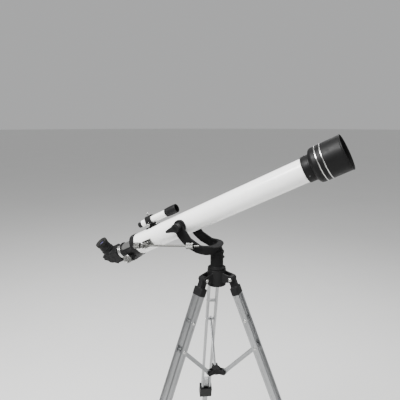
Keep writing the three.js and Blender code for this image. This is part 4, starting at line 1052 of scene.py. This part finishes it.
def build_leg(number):
    place = leg_place(number)
    leg = f"leg_{number}"
    extension = f"{leg}_extension"
    low, high = place.span(f"{leg}_upper")
    half_depth = high.x
    outer = LEG_OUTER
    bars = []
    for side in (-1, 1):
        near, far = sorted((side * LEG_CHANNEL, side * outer))
        section = block((-half_depth, near, low.z), (half_depth, far, -26), 1.1)
        face = far if side > 0 else near
        groove_near, groove_far = sorted((face - side * 0.7, face + side * 1))
        groove = block((-2.2, groove_near, low.z - 5), (2.2, groove_far, -20), 0.3)
        bars.append(carved(section, groove))
    spacer = moved(along_y(rod(5, -outer + 2, outer - 2, 0.5)), z=-SPACER_DOWN)
    axle = moved(along_y(rod(4, -outer - 0.5, outer + 0.5, 0.3)), z=-AXLE_DOWN)
    make(f"{leg}_bars", merged(*bars, spacer, axle), place, "leg", leg, [f"{leg}_upper"])
    for down, name in ((SPACER_DOWN, "spacer"), (AXLE_DOWN, "axle")):
        for side, flank in reversed(FLANKS):
            head = turned([(-0.3, 0), (-0.3, 4.6), (0.8, 4.2), (1.6, 2.6), (1.9, 0)], 0.5, 32)
            spot = place.at(0, side * outer, -down, (0, side, 0))
            make(f"{leg}_{name}_rivet_{flank}", head, spot, "bright", leg)

    tongue = merged(
        along_y(rod(half_depth, -8.4, 8.4, 0.8, 64)),
        block((-half_depth, -8.4, -40), (half_depth, 8.4, 0), 0.8),
        block((-half_depth - 1.2, -outer - 1.2, -46), (half_depth + 1.2, outer + 1.2, -23), 2.2),
    )
    casting = carved(moulded(tongue, 0.8, 5), along_y(rod(4.4, -30, 30, 0.1)))
    make(f"{leg}_top_casting", casting, place, "plastic", leg)
    for side, flank in reversed(FLANKS):
        spot = place.at(0, side * 14, 0, (0, side, 0))
        nut(f"{leg}_hinge_nut_{flank}", spot, "tripod", 5.4, 3.0)

    clamp = moulded(node_mesh(place, f"{leg}_clamp"), 0.8, 6)
    make(f"{leg}_clamp_casting", clamp, place, "plastic", leg, [f"{leg}_clamp"])
    lock = place.at(*(place.inverse @ Vector(JOINTS[f"{leg}_lock_turn"]["pos_m"]) / MM), (1, 0, 0))
    knob = moulded(node_mesh(lock, f"{leg}_lock_knob"), 0.45, 6)
    make(f"{leg}_lock_star", knob, lock, "plastic", f"{leg}_lock", [f"{leg}_lock_knob"])
    face = lock.span(f"{leg}_lock_knob")[1].x
    make(f"{leg}_lock_cap", turned([(-0.6, 0), (-0.6, 6.6), (0.5, 6.2), (0.9, 0)], 0.4, 48),
         lock.at(face, 0, 0), "plastic", f"{leg}_lock")

    low, high = place.span(f"{leg}_lower")
    bar = block(tuple(low), tuple(high), 1.2)
    grooves = []
    for side in (-1, 1):
        near, far = sorted((side * (high.x - 0.7), side * (high.x + 1)))
        grooves.append(block((near, -2.6, low.z - 5), (far, 2.6, high.z + 5), 0.3))
    make(f"{leg}_lower_bar", carved(bar, *grooves), place, "leg", extension, [f"{leg}_lower"])
    foot = in_row(moulded(node_mesh(place, f"{leg}_foot"), 0.6, 5), place)
    make(f"{leg}_rubber_foot", foot, ROW, "rubber", extension, [f"{leg}_foot"])


def build_brace(number):
    place = brace_place(number)
    length = place.span(f"brace_{number}")[1].x - 8
    half = 3.0
    outline = []
    for centre, start in ((0, 90), (length, -90)):
        for step in range(13):
            angle = math.radians(start + 15 * step)
            outline.append((centre + 7.9 * math.cos(angle), 7.9 * math.sin(angle)))
    waist = [(14, -5.6), (length - 14, -5.6)]
    outline = outline[:13] + waist + outline[13:] + [(x, -z) for x, z in reversed(waist)]
    strip = slab(outline, -half, half, 0.7)
    holes = [along_y(rod(4.3, -9, 9, 0.1)), moved(along_y(rod(4.8, -9, 9, 0.1)), x=length)]
    rib_room = [block((18, face - 0.8, -2.4), (length - 18, face + 0.8, 2.4), 0.4) for face in (-half, half)]
    strip = carved(strip, *holes, *rib_room)
    make(f"brace_{number}_strip", strip, place, "flat_leg", f"stay_{number}", [f"brace_{number}"])


def build_spreader():
    hub = moulded(node_mesh(SPREADER, "spreader_hub"), 0.6, 6)
    make("spreader_casting", hub, SPREADER, "plastic", "spreader", ["spreader_hub"])
    for side in (-1, 1):
        disc = turned([(7.4, 0), (7.4, 9.5), (8.6, 9.2), (9.0, 7.6), (8.4, 6.8), (8.4, 0)], 0.3, 64)
        place = SPREADER.at(0, 0, 0, (0, 0, side))
        make(f"spreader_cap_{'top' if side > 0 else 'bottom'}", disc, place, "plastic", "spreader")


# ---- Stage: floor, lights and camera ----


def build_stage():
    mesh = bmesh.new()
    bmesh.ops.create_circle(mesh, cap_ends=True, segments=128, radius=FLOOR_RADIUS)
    data = to_data("floor", mesh)
    finish = Finish("floor_paint", IOR=1.45)
    finish.set("Base Color", finish.colours(finish.noise(1.2, 3), (0.74, 0.74, 0.73), (0.78, 0.78, 0.77)))
    finish.set("Roughness", finish.spread(finish.noise(6, 3), 0.55, 0.7))
    data.materials.append(finish.material)
    floor = bpy.data.objects.new("floor", data)
    bpy.context.scene.collection.objects.link(floor)

    world = bpy.data.worlds.new("studio")
    world.use_nodes = True
    background = world.node_tree.nodes["Background"]
    background.inputs["Color"].default_value = (0.94, 0.945, 0.95, 1)
    background.inputs["Strength"].default_value = 0.50
    bpy.context.scene.world = world


def softbox(name, spot, aim, width, height, watts):
    light = bpy.data.lights.new(name, "AREA")
    light.shape = "RECTANGLE"
    light.size = width
    light.size_y = height
    light.energy = watts
    lamp = bpy.data.objects.new(name, light)
    bpy.context.scene.collection.objects.link(lamp)
    lamp.location = spot
    lamp.rotation_mode = "QUATERNION"
    lamp.rotation_quaternion = (Vector(aim) - Vector(spot)).to_track_quat("-Z", "Y")


def build_lights():
    aim = TUBE.matrix.translation
    softbox("key", aim + Vector((-0.9, -1.7, 2.2)), aim, 1.5, 1.1, 270)
    softbox("fill", aim + Vector((2.2, -1.8, 0.9)), aim, 1.2, 1.6, 32)
    softbox("back", aim + Vector((0.3, 2.2, 1.8)), aim, 2.0, 0.8, 34)
    softbox("top", aim + Vector((0.1, 0.0, 2.4)), aim, 1.4, 1.4, 50)


def build_camera():
    turn, rise = math.radians(CAMERA_TURN), math.radians(CAMERA_RISE)
    back = Vector((math.sin(turn) * math.cos(rise), -math.cos(turn) * math.cos(rise), math.sin(rise)))
    right = Vector((math.cos(turn), math.sin(turn), 0))
    upward = back.cross(right)
    aim = TUBE.matrix.translation + right * CAMERA_AIM[0] + upward * CAMERA_AIM[1]
    data = bpy.data.cameras.new("camera")
    data.lens = CAMERA_LENS
    data.sensor_width = 36
    camera = bpy.data.objects.new("camera", data)
    bpy.context.scene.collection.objects.link(camera)
    camera.location = aim + back * CAMERA_DISTANCE
    camera.rotation_mode = "QUATERNION"
    camera.rotation_quaternion = (-back).to_track_quat("-Z", "Y")
    bpy.context.scene.camera = camera


build_camera()
build_stage()
build_lights()
build_tube()
build_objective()
build_dew_shield()
build_focuser()
build_diagonal()
build_eyepiece()
build_finder()
build_pivots()
build_knobs()
build_rod()
build_fork()
build_hub()
for leg_number in LEGS:
    build_leg(leg_number)
    build_brace(leg_number)
build_spreader()
